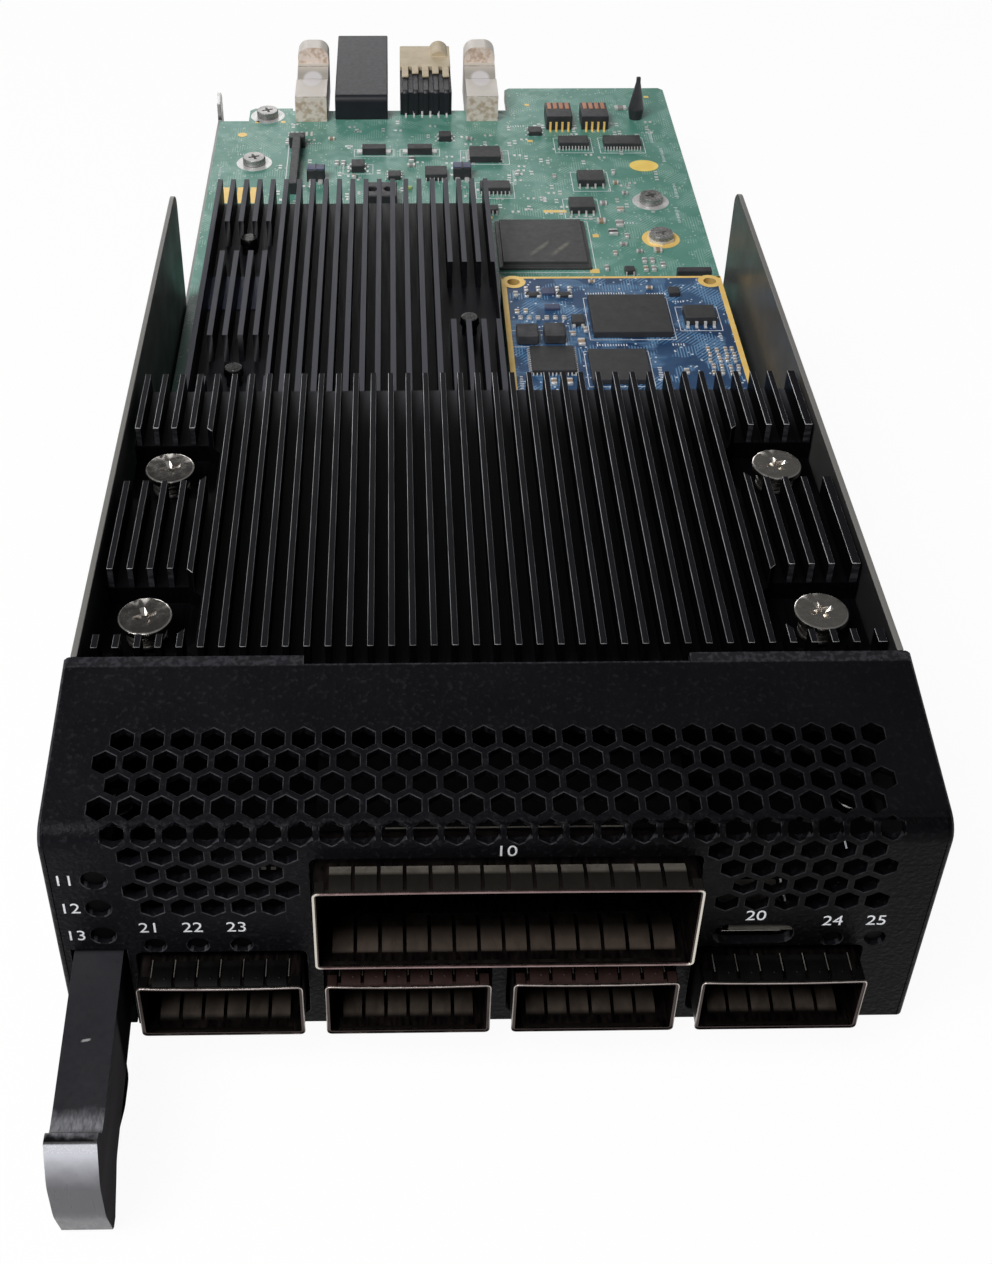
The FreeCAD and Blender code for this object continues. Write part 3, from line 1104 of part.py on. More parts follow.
# ---- Write every piece ----
save("tray", tray())
save("front_panel", front_panel())
save("light_pipes", light_pipes())
save("service_socket", service_socket())
save("main_board", main_board())
save("board_standoffs", board_standoffs())
for number, spot in enumerate(BOARD_SCREW_SPOTS, 1):
    save("board_screw_%d" % number, board_screw(*spot))
save("wide_port_cage", wide_port_cage())
save("wide_port_fingers", finger_strip(WIDE_CAGE_X, WIDE_CAGE_WIDTH, WIDE_CAGE_TOP, BOARD_TOP,
                                       WIDE_CAGE_LIP, WIDE_FINGER_COUNT))
save("wide_port_socket", host_socket(WIDE_CAGE_X, WIDE_CAGE_WIDTH, BOARD_TOP, WIDE_CAGE_TOP,
                                     WIDE_CAGE_REAR, WIDE_SOCKET_DEPTH))
for number, centre in enumerate(SMALL_CAGE_CENTRES, 1):
    save("small_port_cage_%d" % number, small_port_cage(centre))
    save("small_port_fingers_%d" % number, finger_strip(centre, SMALL_CAGE_WIDTH, SMALL_CAGE_TOP,
                                                        SMALL_CAGE_FOOT, SMALL_CAGE_LIP, SMALL_FINGER_COUNT))
save("small_port_sockets", Part.makeCompound([
    host_socket(centre, SMALL_CAGE_WIDTH, SMALL_CAGE_FOOT, SMALL_CAGE_TOP, SMALL_CAGE_REAR, SMALL_SOCKET_DEPTH)
    for centre in SMALL_CAGE_CENTRES]))
save("front_heatsink", front_heatsink())
save("thermal_pad", thermal_pad())
save("sink_standoffs", sink_standoffs())
for number, spot in enumerate(SINK_SCREW_SPOTS, 1):
    save("sink_screw_%d" % number, sink_screw(*spot))
    save("sink_spring_%d" % number, sink_spring(*spot))
save("rear_heatsink", rear_heatsink())
save("sink_label", sink_label())
save("processor", processor())
save("push_pins", Part.makeCompound([push_pin(x, y) for x, y in PIN_SPOTS]))
save("module_board", module_board())
save("module_connector", module_connector())
save("module_standoffs", module_standoffs())
save("module_chips", chips(MODULE_PARTS, MODULE_TOP, MODULE_LEFT, MODULE_FRONT))
save("module_chokes", chips(MODULE_CHOKES, MODULE_TOP, MODULE_LEFT, MODULE_FRONT))
save("large_chip", large_chip())
save("board_chips", chips(BOARD_PARTS, BOARD_TOP))
save("power_parts", chips(POWER_PARTS, BOARD_TOP))
save("upright_parts", chips(UPRIGHT_PARTS, BOARD_TOP))
save("terminal_socket", terminal_socket())
save("pin_header", pin_header())
save("power_connector", power_connector())
save("signal_wafers", signal_wafers())
save("signal_housing", signal_housing())
save("guide_left", guide(GUIDE_CENTRES[0]))
save("guide_right", guide(GUIDE_CENTRES[1]))
save("ejector_lever", ejector_lever())
save("lever_grip", lever_grip())
save("lever_bracket", lever_bracket())
save("lever_pin", lever_pin())
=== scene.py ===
# %% [markdown]
# # A switch line card
# The card is a sheet tray with a perforated faceplate, port cages, two finned heatsinks,
# a module board, rear connectors and an ejector lever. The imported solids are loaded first
# and stay where they are. Finer pieces and finishes are then built round them.

import math
import random

import bmesh
import bpy
from mathutils import Matrix, Vector


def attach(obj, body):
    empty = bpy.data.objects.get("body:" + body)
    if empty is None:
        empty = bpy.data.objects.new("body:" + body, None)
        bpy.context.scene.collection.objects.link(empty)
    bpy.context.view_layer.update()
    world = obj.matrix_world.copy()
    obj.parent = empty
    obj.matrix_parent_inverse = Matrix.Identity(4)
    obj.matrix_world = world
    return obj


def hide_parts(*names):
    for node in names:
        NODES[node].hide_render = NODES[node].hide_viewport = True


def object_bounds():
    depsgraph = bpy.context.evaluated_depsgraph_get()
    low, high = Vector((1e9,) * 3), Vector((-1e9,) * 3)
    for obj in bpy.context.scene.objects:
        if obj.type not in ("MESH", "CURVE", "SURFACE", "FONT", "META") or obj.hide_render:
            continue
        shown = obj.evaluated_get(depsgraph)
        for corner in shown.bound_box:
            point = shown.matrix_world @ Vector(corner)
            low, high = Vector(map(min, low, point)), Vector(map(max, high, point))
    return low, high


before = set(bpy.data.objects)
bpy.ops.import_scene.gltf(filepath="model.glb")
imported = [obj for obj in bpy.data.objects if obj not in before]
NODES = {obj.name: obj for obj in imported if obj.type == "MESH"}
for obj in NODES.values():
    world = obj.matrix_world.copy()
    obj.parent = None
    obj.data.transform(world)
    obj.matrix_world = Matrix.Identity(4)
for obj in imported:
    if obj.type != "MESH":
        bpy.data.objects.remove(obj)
CAD_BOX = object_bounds()
MM = 0.001
SIDES = (-1, 1)
scene = bpy.context.scene


def placed(name, data):
    made = bpy.data.objects.new(name, data)
    scene.collection.objects.link(made)
    return made


print("frame:", len(NODES), "nodes, box", CAD_BOX)

# %% [markdown]
# ## The camera
# The card is seen from above its faceplate, looking down along its length. A camera can be
# aimed with a constraint, but a matrix built from pitch, yaw and roll lets each angle be read
# and changed by itself.

# %% Camera
CAMERA_SPOT = Vector((-11.043, -120.333, 177.68)) * MM
PITCH, YAW, ROLL = (math.radians(angle) for angle in (37.679, 1.115, 0.315))
forward = Vector((math.sin(YAW) * math.cos(PITCH), math.cos(YAW) * math.cos(PITCH),
                  -math.sin(PITCH)))
level = Vector((math.cos(YAW), -math.sin(YAW), 0))
upright = level.cross(forward)
right = level * math.cos(ROLL) + upright * math.sin(ROLL)
up = upright * math.cos(ROLL) - level * math.sin(ROLL)

lens = bpy.data.cameras.new("camera")
lens.sensor_fit = "VERTICAL"
lens.sensor_height = 36
lens.sensor_width = 36 * 992 / 1264
lens.lens = 47.263
lens.shift_x = 0.0591
lens.shift_y = -0.1248
lens.clip_start = 0.01
camera = placed("camera", lens)
camera.matrix_world = Matrix([(right[i], up[i], -forward[i], CAMERA_SPOT[i]) for i in range(3)]
                             + [(0, 0, 0, 1)])
scene.camera = camera
print("camera:", tuple(round(c, 3) for c in camera.location))

# %% [markdown]
# ## Tools for shapes
# Every shape is modelled in millimetres with mesh operators, and is scaled to metres once, when
# it becomes a piece. A piece rides on the card or the lever, and may stand for a solid.

# %% From a shape to a piece
def piece(name, shape, finish, slot=None, body="card", covers=(), sharp_over=40):
    slot = slot or finish
    bmesh.ops.scale(shape, vec=(MM, MM, MM), verts=shape.verts)
    mesh = bpy.data.meshes.new(name)
    shape.to_mesh(mesh)
    shape.free()
    mesh.materials.append(LOOKS[finish])
    mesh.shade_smooth()
    mesh.set_sharp_from_angle(angle=math.radians(sharp_over))
    made = placed(name, mesh)
    made.modifiers.new("even", "WEIGHTED_NORMAL").keep_sharp = True
    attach(made, body)
    if covers:
        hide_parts(*covers)
    print(name, len(mesh.polygons), "faces")
    return made

# %% [markdown]
# Most pieces start as a box, a rod or an outline pulled out to a thickness. A box could keep its
# sharp edges, but a real edge is a little round and catches the light, so the helpers bevel.

# %% Boxes, rods and outlines
def bevel(shape, edges, width, steps=2, **more):
    bmesh.ops.bevel(shape, geom=list(edges), offset=width, offset_type="OFFSET",
                    affect="EDGES", segments=steps, profile=0.5, material=-1, **more)


def verts_in(made):
    return [part for part in made["geom"] if isinstance(part, bmesh.types.BMVert)]


def edges_in(verts, inside=False):
    return list({edge for vert in verts for edge in vert.link_edges
                 if not inside or all(end in verts for end in edge.verts)})


def moved(x, y, z):
    return Matrix.Translation((x, y, z))


def block(shape, left, right, front, rear, foot, top, edge=0, steps=2):
    place = moved((left + right) / 2, (front + rear) / 2, (foot + top) / 2) @ Matrix.Diagonal(
        (right - left, rear - front, top - foot, 1))
    verts = bmesh.ops.create_cube(shape, size=1, matrix=place)["verts"]
    if edge:
        bevel(shape, edges_in(verts), edge, steps)


def rod(shape, start, end, radius, sides=16, end_radius=None, edge=0):
    start, end = Vector(start), Vector(end)
    along = end - start
    place = moved(*(start + end) / 2) @ along.to_track_quat("Z", "Y").to_matrix().to_4x4()
    verts = bmesh.ops.create_cone(
        shape, cap_ends=True, segments=sides, radius1=radius, depth=along.length,
        radius2=radius if end_radius is None else end_radius, matrix=place)["verts"]
    if edge:
        bevel(shape, [e for e in edges_in(verts)
                      if any(len(f.verts) == sides for f in e.link_faces)], edge)


def pulled(shape, corners, push):
    verts = [shape.verts.new(corner) for corner in corners]
    face = shape.faces.new(verts)
    far = verts_in(bmesh.ops.extrude_face_region(shape, geom=[face]))
    bmesh.ops.translate(shape, vec=push, verts=far)
    bmesh.ops.recalc_face_normals(shape, faces=list({f for v in verts + far for f in v.link_faces}))
    return verts + far

# %% [markdown]
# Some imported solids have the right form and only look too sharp. Their mesh must not be changed,
# so a copy is taken, its loose triangles are merged into faces, and its edges are eased.

# %% An eased copy of a solid
def sharp(edge, over):
    return len(edge.link_faces) == 2 and edge.calc_face_angle() > math.radians(over)


def eased(node, finish, width, steps=2, slot=None, body="card", over=35, sharp_over=40):
    shape = bmesh.new()
    shape.from_mesh(NODES[node].data)
    bmesh.ops.scale(shape, vec=(1000, 1000, 1000), verts=shape.verts)
    bmesh.ops.remove_doubles(shape, verts=shape.verts, dist=0.001)
    bmesh.ops.dissolve_limit(shape, angle_limit=math.radians(1), verts=shape.verts,
                             edges=shape.edges)
    if width:
        bevel(shape, [e for e in shape.edges if sharp(e, over)], width, steps, clamp_overlap=True)
    return piece(node + "_eased", shape, finish, slot, body, (node,), sharp_over)

# %% [markdown]
# ## Tools for finishes
# A finish is a net of nodes: patterns in object space tint a colour, and drive a roughness and a
# bump. They could be wired by hand each time; a small class lets each finish read as a recipe.
# Places are in millimetres along an axis, a tilt is a part of the face's normal, and a tint
# comes in where all its masks meet.

# %% The recipe book
LOOKS = {}


class Net:
    def __init__(self, tree):
        self.tree = tree

    def node(self, kind, values, **settings):
        made = self.tree.nodes.new("ShaderNode" + kind)
        for key, value in settings.items():
            setattr(made, key, value)
        for key, value in values.items():
            self.feed(made.inputs[key], value)
        return made

    def feed(self, socket, value):
        if isinstance(value, bpy.types.NodeSocket):
            self.tree.links.new(value, socket)
        else:
            socket.default_value = value

    def sum(self, kind, *values):
        return self.node("Math", dict(enumerate(values)), operation=kind).outputs[0]

    def times(self, product, *values):
        for value in values:
            product = self.sum("MULTIPLY", product, value)
        return product

    def part(self, vector, name):
        return self.node("SeparateXYZ", {0: vector}).outputs[name]


class Finish(Net):
    def __init__(self, name, colour, metallic=0, specular=0.5):
        self.material = LOOKS[name] = bpy.data.materials.new(name)
        self.material.use_nodes = True
        super().__init__(self.material.node_tree)
        self.shader = self.tree.nodes["Principled BSDF"]
        self.colour = (*colour, 1)
        self.normal = None
        for key, value in (("Base Color", self.colour), ("Metallic", metallic),
                           ("Specular IOR Level", specular)):
            self.shader.inputs[key].default_value = value
        self.place = self.node("TexCoord", {}).outputs["Object"]

    def stretched(self, x, y, z, turn=0):
        return self.node("Mapping", {"Vector": self.place, "Scale": (x, y, z), "Rotation": (
            0, 0, math.radians(turn))}).outputs["Vector"]

    def grain(self, size, detail, stretch=None):
        return self.node("TexNoise", {
            "Vector": self.stretched(*stretch) if stretch else self.place,
            "Scale": 1000 / size, "Detail": detail}).outputs["Fac"]

    def span(self, value, low, high, out_low=0, out_high=1):
        return self.node("MapRange", {
            "Value": value, "From Min": low, "From Max": high,
            "To Min": out_low, "To Max": out_high}).outputs["Result"]

    def cloud(self, size, detail, low, high, out_low=0, out_high=1, stretch=None):
        return self.span(self.grain(size, detail, stretch), low, high, out_low, out_high)

    def axis(self, name):
        return self.part(self.place, name)

    def facing(self, name):
        return self.part(self.node("NewGeometry", {}).outputs["True Normal"], name)

    def along(self, name, low, high, *out):
        return self.span(self.axis(name), low * MM, high * MM, *out)

    def tilt(self, name, low, high, *out):
        return self.span(self.facing(name), low, high, *out)

    def past(self, name, place, blur=0.2):
        return self.along(name, place - blur / 2, place + blur / 2)

    def apart(self, name, place):
        return self.sum("ABSOLUTE", self.sum("SUBTRACT", self.axis(name), place * MM))

    def tint(self, colour, *masks):
        made = self.node("Mix", {0: self.times(*masks), 6: self.colour, 7: (*colour, 1)},
                         data_type="RGBA")
        self.colour = made.outputs[2]
        self.feed(self.shader.inputs["Base Color"], self.colour)

    def rough(self, size, detail, low, high, stretch=None):
        self.feed(self.shader.inputs["Roughness"],
                  self.cloud(size, detail, 0.3, 0.7, low, high, stretch))

    def raised(self, height, depth, strength=1):
        made = self.node("Bump", {"Height": height, "Distance": depth * MM, "Strength": strength})
        if self.normal:
            self.feed(made.inputs["Normal"], self.normal)
        self.normal = made.outputs["Normal"]
        self.feed(self.shader.inputs["Normal"], self.normal)

    def bump(self, size, detail, depth, stretch=None):
        self.raised(self.grain(size, detail, stretch), depth)


print("tools ready")

# %% [markdown]
# ## Painted and anodised black
# The faceplate is powder coated, with a fine orange peel. Its colour carries painted light: it is
# lighter towards the left and on upward faces, with small painted glints, a painted highlight on
# the eased vent edges and a painted highlight stipple along the hood's rear edge. The tray has a
# satin coat and nearly bare sheared edges, and a painted sheen on its upward faces. The heatsinks
# are anodised; their fin tops and fin fronts are painted lighter, thin painted highlight lines run
# along the fin-top edges, and the rear end of each sink carries a painted highlight. One dark
# colour could serve all, but their grain is what tells them apart.

# %% Black finishes
def black_powder():
    f = Finish("black_texture", (0.0008, 0.0008, 0.0011), specular=0.05)
    peel = (0.62, 2)
    # Painted light: the faceplate is painted lighter towards the left and on faces that look up,
    # and its painted glints and rim highlights fade towards the right.
    light_from_left = f.along("X", 45, -20, 0.35)
    f.tint((0.0066, 0.0062, 0.0085), f.along("X", 20, -55))
    f.tint((0.0085, 0.0083, 0.01), f.tilt("Z", 0.9, 0.97, 0, 0.6))
    f.tint((0.0034, 0.0033, 0.0043), f.cloud(9, 3, 0.35, 0.7, 0, 0.5))
    # Painted glints on the orange peel, and a painted highlight stipple along the hood's rear edge.
    f.tint((0.02, 0.02, 0.024), light_from_left, f.cloud(*peel, 0.56, 0.72, 0, 0.6))
    f.tint((0.035, 0.035, 0.04), f.past("Y", 22.7), f.cloud(*peel, 0.45, 0.6, 0.35))
    # Painted highlight along the eased edges of the vents and sides.
    aside = f.sum("ABSOLUTE", f.facing("X"))
    on_face = f.times(f.tilt("Y", -0.58, -0.64), f.tilt("Y", -0.82, -0.78))
    on_hood = f.times(f.tilt("Z", 0.54, 0.6), f.tilt("Z", 0.84, 0.81))
    rim = f.times(f.span(aside, 0.2, 0.3), f.span(aside, 0.9, 0.8),
                  f.sum("MAXIMUM", on_face, on_hood), light_from_left)
    f.tint((0.062, 0.062, 0.069), rim, f.cloud(1.1, 3, 0.35, 0.6, 0.25, 0.9))
    f.rough(1.4, 2, 0.34, 0.48)
    f.bump(*peel, 0.11)


def black_sheet():
    f = Finish("black_sheet", (0.066, 0.066, 0.064), specular=0.3)
    f.tint((0.078, 0.076, 0.072), f.cloud(14, 3, 0.35, 0.7))
    f.tint((0.02, 0.02, 0.021), f.along("Y", 85, 45))
    f.tint((0.16, 0.15, 0.14), f.past("Z", 38.55, 0.08))
    # Painted sheen: faces that look up, above 12 mm, are painted lighter, more so towards the rear.
    f.tint((0.3, 0.31, 0.3), f.tilt("Z", 0.55, 0.7), f.past("Z", 12, 0.5),
           f.along("Y", 130, 170, 0.18))
    f.tint((0.85, 0.85, 0.84), f.past("Y", 222.1, 0.6), f.past("Z", 14.4, 0.8))
    f.rough(6, 4, 0.3, 0.42)
    f.bump(0.25, 2, 0.004)


def black_anodised(which, fin_top, rear, dark, light, top, edge_highlight_colour, specular):
    f = Finish("black_anodised_" + which, dark, specular=specular)
    streak = (3, 0.12, 1)
    f.tint(light, f.cloud(1, 3, 0.35, 0.75, stretch=streak))
    # Painted highlight on the sink's base between the fins towards its rear end, on faces that look
    # up.
    low = f.times(f.along("Y", rear - 12, rear), f.along("Z", fin_top - 1, fin_top - 3))
    f.tint((0.075, 0.075, 0.085), low, low, f.facing("Z"))
    # Painted light: the fins' front ends are painted lighter.
    lit_fin_fronts = f.times(f.tilt("Y", -0.8, -0.95), f.past("Z", 34.7, 0.4), f.past("Y", 30, 2))
    f.tint((0.04, 0.04, 0.046), lit_fin_fronts, f.cloud(0.5, 2, 0.4, 0.65, 0.3, stretch=(0.3, 1, 1)))
    # Painted light: the fin tops are painted lighter, and a thin painted highlight line runs along
    # their eased edges, broken by noise and weaker towards the front.
    fin_top_band = f.past("Z", fin_top - 0.25, 0.1)
    f.tint(top, fin_top_band, f.tilt("Z", 0.9, 0.97))
    edge = f.times(f.tilt("Z", 0.3, 0.5), f.tilt("Z", 0.95, 0.85))
    broken = f.cloud(2.2, 4, 0.3, 0.62, 0.4, stretch=(1, 0.35, 1))
    f.tint(edge_highlight_colour, fin_top_band, edge, broken, f.along("Y", 25, 80, 0.4))
    f.rough(1, 3, 0.34, 0.5, streak)
    f.bump(0.5, 3, 0.012, (4, 0.2, 1))


black_powder()
black_sheet()
# The two sinks take copies of one anodised black, the front one darker with a brighter highlight
# line and the rear one lighter: painted light and shade.
black_anodised("front", 37.85, 85.6, (0.0011, 0.0011, 0.0015), (0.0022, 0.0022, 0.003),
               (0.0085, 0.0085, 0.0105), (0.98, 0.99, 1), 0.05)
black_anodised("rear", 28.7, 200, (0.0045, 0.0045, 0.006), (0.0085, 0.0085, 0.011),
               (0.055, 0.056, 0.068), (0.2, 0.2, 0.23), 0.14)
print("black finishes:", list(LOOKS))

# %% [markdown]
# ## The lever's worn satin
# The lever is coated black on its arm. Its bend carries scuffs and a painted highlight, with
# painted shade in its hollow, and its nose a pale grey painted highlight. Its sides take a shaded
# copy of the coat. These could be painted by hand; here a position along the lever drives them,
# broken up by noise so that they don't end in a ruled line.

# %% Lever finishes
def lever_coat():
    f = Finish("lever_black", (0.02, 0.02, 0.024), specular=0.16)
    f.tint((0.025, 0.025, 0.029), f.cloud(9, 3, 0.35, 0.7))
    # Across the bend, on faces that look up: scuffs, and a painted highlight where the bend meets
    # the light.
    wander = f.sum("ADD", f.axis("Y"), f.times(f.grain(1.3, 4), 0.0018))
    flecks = f.cloud(0.4, 5, 0.36, 0.66, 0.45, stretch=(1.6, 0.5, 1, 12))
    upward = f.tilt("Z", 0.5, 0.85)
    f.tint((0.21, 0.21, 0.225), f.span(wander, -0.0172, -0.019), f.span(wander, -0.0222, -0.0212),
           flecks, upward)
    # Painted highlight: the nose is painted a pale grey that brightens towards its top, with
    # painted glints on its upper edge.
    nose = f.times(f.along("Y", -22.5, -23.2), f.tilt("Y", -0.45, -0.75))
    f.tint((0.128, 0.126, 0.137), nose)
    height = f.sum("ADD", f.axis("Z"), f.times(f.grain(1.6, 3), 0.001))
    lit = f.span(height, 0.0072, 0.0122)
    f.tint((0.6, 0.61, 0.66), nose, lit, lit)
    f.tint((0.95, 0.95, 0.97), nose, f.cloud(0.15, 3, 0.52, 0.66, 0, 0.6),
           f.span(height, 0.0122, 0.0128))
    # Painted shade in the hollow of the bend.
    f.tint((0.004, 0.004, 0.0045), f.span(wander, -0.0217, -0.0222), f.tilt("Y", -0.75, -0.5),
           f.tilt("Z", 0.2, 0.4))
    slant = f.sum("MULTIPLY_ADD", f.axis("X"), -0.2, 0.00127)
    nick_y = f.sum("ABSOLUTE", f.sum("ADD", f.axis("Y"), f.sum(
        "ADD", slant, f.times(f.grain(0.3, 2), 0.0001))))
    nick_x = f.sum("ABSOLUTE", f.sum("ADD", f.axis("X"), 0.0464))
    f.tint((0.3, 0.295, 0.3), f.span(nick_x, 0.0006, 0.0003), f.span(nick_y, 0.00018, 0.00008),
           upward)
    f.rough(0.7, 4, 0.26, 0.4, (1, 1, 0.15))
    f.bump(0.6, 2, 0.003)


def soft_pad():
    f = Finish("grip_black", (0.004, 0.004, 0.0045), specular=0)
    f.tint((0.009, 0.009, 0.0095), f.cloud(3, 3, 0.4, 0.7))
    f.rough(1.2, 3, 0.45, 0.65)
    f.bump(0.2, 2, 0.015)


# The lever's sides take their own copy of the coat, without gloss, so that they stay dark where
# light grazes them: a shaded copy of the coat.
def lever_flank():
    f = Finish("lever_flank", (0.052, 0.049, 0.052), specular=0)
    f.tint((0.066, 0.062, 0.066), f.cloud(4, 3, 0.35, 0.7, stretch=(1, 0.4, 1)))
    # Painted shade: the flank is darker near the faceplate.
    f.tint((0.008, 0.008, 0.009), f.along("Y", -8.5, -7.5))
    f.rough(2, 2, 0.45, 0.6)
    f.bump(0.6, 2, 0.003)


lever_coat()
lever_flank()
soft_pad()
print("with the lever's,", len(LOOKS), "finishes")

# %% [markdown]
# ## Bare metals
# The port cages are plated a warm nickel, the pads are tinned or gilt, and the springs are plain
# steel. One recipe with a stain, a fine brushed streak and a roughness range covers them all.

# %% Metal finishes
def plated(name, colour, stain, low, high, streak=(1, 1, 1), grain=0.5, depth=0.006, metallic=1):
    f = Finish(name, colour, metallic=metallic)
    f.tint(stain, f.cloud(3.5, 4, 0.35, 0.68))
    f.rough(grain, 3, low, high, streak)
    f.bump(grain, 3, depth, streak)


plated("port_nickel", (0.065, 0.049, 0.046), (0.04, 0.03, 0.028), 0.24, 0.42, (1, 0.2, 1))
plated("nickel", (0.5, 0.47, 0.44), (0.38, 0.35, 0.32), 0.16, 0.28, grain=2.4, depth=0.002)
plated("spring_steel", (0.46, 0.44, 0.42), (0.3, 0.28, 0.26), 0.24, 0.4)
plated("standoff_steel", (0.6, 0.58, 0.55), (0.45, 0.43, 0.4), 0.28, 0.42, (1, 1, 0.2))
plated("bar_nickel", (0.15, 0.14, 0.12), (0.07, 0.065, 0.06), 0.3, 0.4, metallic=0.2)
plated("gold_plate", (0.98, 0.68, 0.22), (0.9, 0.58, 0.16), 0.3, 0.45, metallic=0.12)
plated("copper_lead", (0.6, 0.27, 0.15), (0.46, 0.2, 0.11), 0.32, 0.5, metallic=0.4)
plated("solder_tin", (0.78, 0.78, 0.77), (0.6, 0.59, 0.58), 0.24, 0.42, grain=0.3, depth=0.01,
       metallic=0.4)
plated("pan_steel", (0.42, 0.41, 0.4), (0.22, 0.215, 0.21), 0.2, 0.32, metallic=0.55)
plated("pin_steel", (0.1, 0.098, 0.095), (0.06, 0.058, 0.056), 0.2, 0.3)
print("with the plated metals,", len(LOOKS), "finishes")

# %% [markdown]
# Some parts need more than an even plating. The fingers carry painted shade deep in the port, just
# inside its mouth and where the outer ones dip to the lip, and their outer rows get a tone of their
# own for how light falls. The small lips carry a painted highlight towards their top, and the wide
# lip one on its sides. The screws' rims and recesses carry a painted highlight, and the screws on
# the right are painted lighter. The die-cast guides get a cloudier grain, a painted reflection on
# their fronts, painted shade in their hollow with a pale round painted highlight, and two dark
# lines, the rear one a painted shadow line at the foot of the rear plate.

# %% Fingers, lips, screws and castings
def darker(colour, share):
    return [part * share for part in colour]


def finger_plate(which, inner, outer, top, share):
    f = Finish(which + "_finger_nickel", inner, metallic=0.2, specular=0.05)
    streak = (1, 0.25, 1)
    # Painted shade: darker deep in the port and just inside its mouth.
    f.tint(darker(inner, 0.07), f.sum("MAXIMUM", f.along("Y", -1.1, 1.1), f.along("Y", -1.9, -2.4)))
    # The outer fingers on the cage's top get their own tone for how light falls, lighter on the
    # wide cage and darker on the small ones, and darker again where they dip towards the lip:
    # painted light and shade.
    above = f.past("Z", top - 1, 0.5)
    f.tint(outer, above)
    f.tint(darker(outer, share), above, f.along("Y", -1.4, -1.9))
    f.tint(darker(outer, 0.15), f.cloud(1.6, 3, 0.42, 0.62, 0, 0.35, (1, 0.5, 1)))
    f.rough(0.5, 3, 0.26, 0.38, streak)
    f.bump(0.8, 2, 0.004, streak)


def wide_lip(centre, half):
    f = Finish("lip_nickel", (0.27, 0.19, 0.185), metallic=1)
    f.tint((0.19, 0.13, 0.125), f.cloud(2.4, 3, 0.4, 0.7))
    # Painted highlight on the sides of the lip.
    f.tint((0.62, 0.58, 0.51), f.span(f.apart("X", centre), (half - 0.9) * MM, (half - 0.35) * MM))
    f.rough(0.8, 3, 0.22, 0.36)
    f.bump(0.5, 2, 0.005)


def small_lip():
    f = Finish("small_lip_nickel", (0.022, 0.018, 0.017), metallic=1)
    # Painted highlight: the lip is painted lighter towards its top.
    f.tint((0.3, 0.27, 0.25), f.along("Z", 4.2, 6.2))
    f.tint((0.52, 0.46, 0.43), f.along("Z", 11.5, 12.7))
    f.tint((0.2, 0.16, 0.15), f.cloud(2.4, 3, 0.5, 0.7, 0, 0.6))
    f.rough(0.8, 3, 0.22, 0.36)
    f.bump(0.5, 2, 0.005)


def die_cast():
    f = Finish("die_cast", (0.64, 0.6, 0.55), metallic=0.15)
    f.tint((0.66, 0.61, 0.55), f.cloud(3.5, 4, 0.35, 0.68))
    # Painted reflection: faces that look forward are tinted cream, mottled.
    front = f.tilt("Y", -0.8, -0.95)
    f.tint((0.88, 0.76, 0.68), front)
    f.tint((0.6, 0.45, 0.34), front, f.cloud(1.4, 3, 0.45, 0.62))
    # Painted shade in the hollow behind the front block.
    f.tint((0.46, 0.43, 0.38), f.along("Z", 22.2, 21.4), f.along("Y", 223.6, 224.6))
    # A pale round painted highlight in each guide's hollow.
    for x in (-29, 8.4):
        aside = f.sum("DIVIDE", f.sum("SUBTRACT", f.axis("X"), x * MM), 2.3 * MM)
        raised = f.sum("MULTIPLY_ADD", f.axis("Z"), 2.25, f.axis("Y"))
        along = f.sum("DIVIDE", f.sum("SUBTRACT", raised, 274.6 * MM), 4.4 * MM)
        away = f.sum("ADD", f.times(aside, aside), f.times(along, along))
        f.tint((0.76, 0.73, 0.73), f.span(away, 1, 0.55), f.past("Y", 219, 0.5))
    # Two dark lines: at 231.4 a painted shadow line at the foot of the rear plate, at 215.35 a line
    # along the front top edge.
    for y in (215.35, 231.4):
        f.tint((0.16, 0.14, 0.11), f.span(f.apart("Y", y), 0.00028, 0.0001), f.tilt("Z", 0.2, 0.4),
               f.cloud(1.2, 3, 0.35, 0.55, 0.2, 0.9))
    f.rough(0.7, 3, 0.36, 0.52)
    f.bump(0.7, 3, 0.02)


def screw_steel():
    f = Finish("screw_nickel", (0.25, 0.235, 0.22), metallic=1)
    f.tint((0.36, 0.34, 0.315), f.cloud(1.1, 4, 0.42, 0.7))
    # Painted light: screws further right are painted lighter, and rims and recess walls carry a
    # painted highlight.
    f.tint((0.72, 0.68, 0.63), f.along("X", 0, 30, 0, 0.7))
    f.tint((0.92, 0.88, 0.83), f.tilt("Z", 0.25, 0.4), f.tilt("Z", 0.96, 0.91))
    f.rough(0.9, 3, 0.16, 0.3)
    f.bump(0.7, 3, 0.006)


finger_plate("wide", (0.062, 0.047, 0.038), (0.12, 0.108, 0.092), 29.6, 0.1)
finger_plate("dark", (0.062, 0.05, 0.041), (0.0075, 0.007, 0.007), 13.1, 0.5)
finger_plate("brown", (0.07, 0.056, 0.045), (0.05, 0.028, 0.025), 13.1, 0.6)
wide_lip(1.15, 21.7)
small_lip()
screw_steel()
die_cast()
print("with the special metals,", len(LOOKS), "finishes")

# %% [markdown]
# ## Plastics, ceramics and a sheet of painted shade
# Connectors, chips and small parts are moulded: a plain colour with a soft mottle, a fine
# sandy bump and a roughness that drifts a little. The large chip has two pale slanted streaks
# besides.

# %% Moulded finishes
def moulded(name, colour, mottle, low, high, grain=0.18, depth=0.012, specular=0.5):
    f = Finish(name, colour, specular=specular)
    f.tint(mottle, f.cloud(2.6, 4, 0.35, 0.7))
    f.rough(0.9, 3, low, high)
    f.bump(grain, 2, depth)
    return f


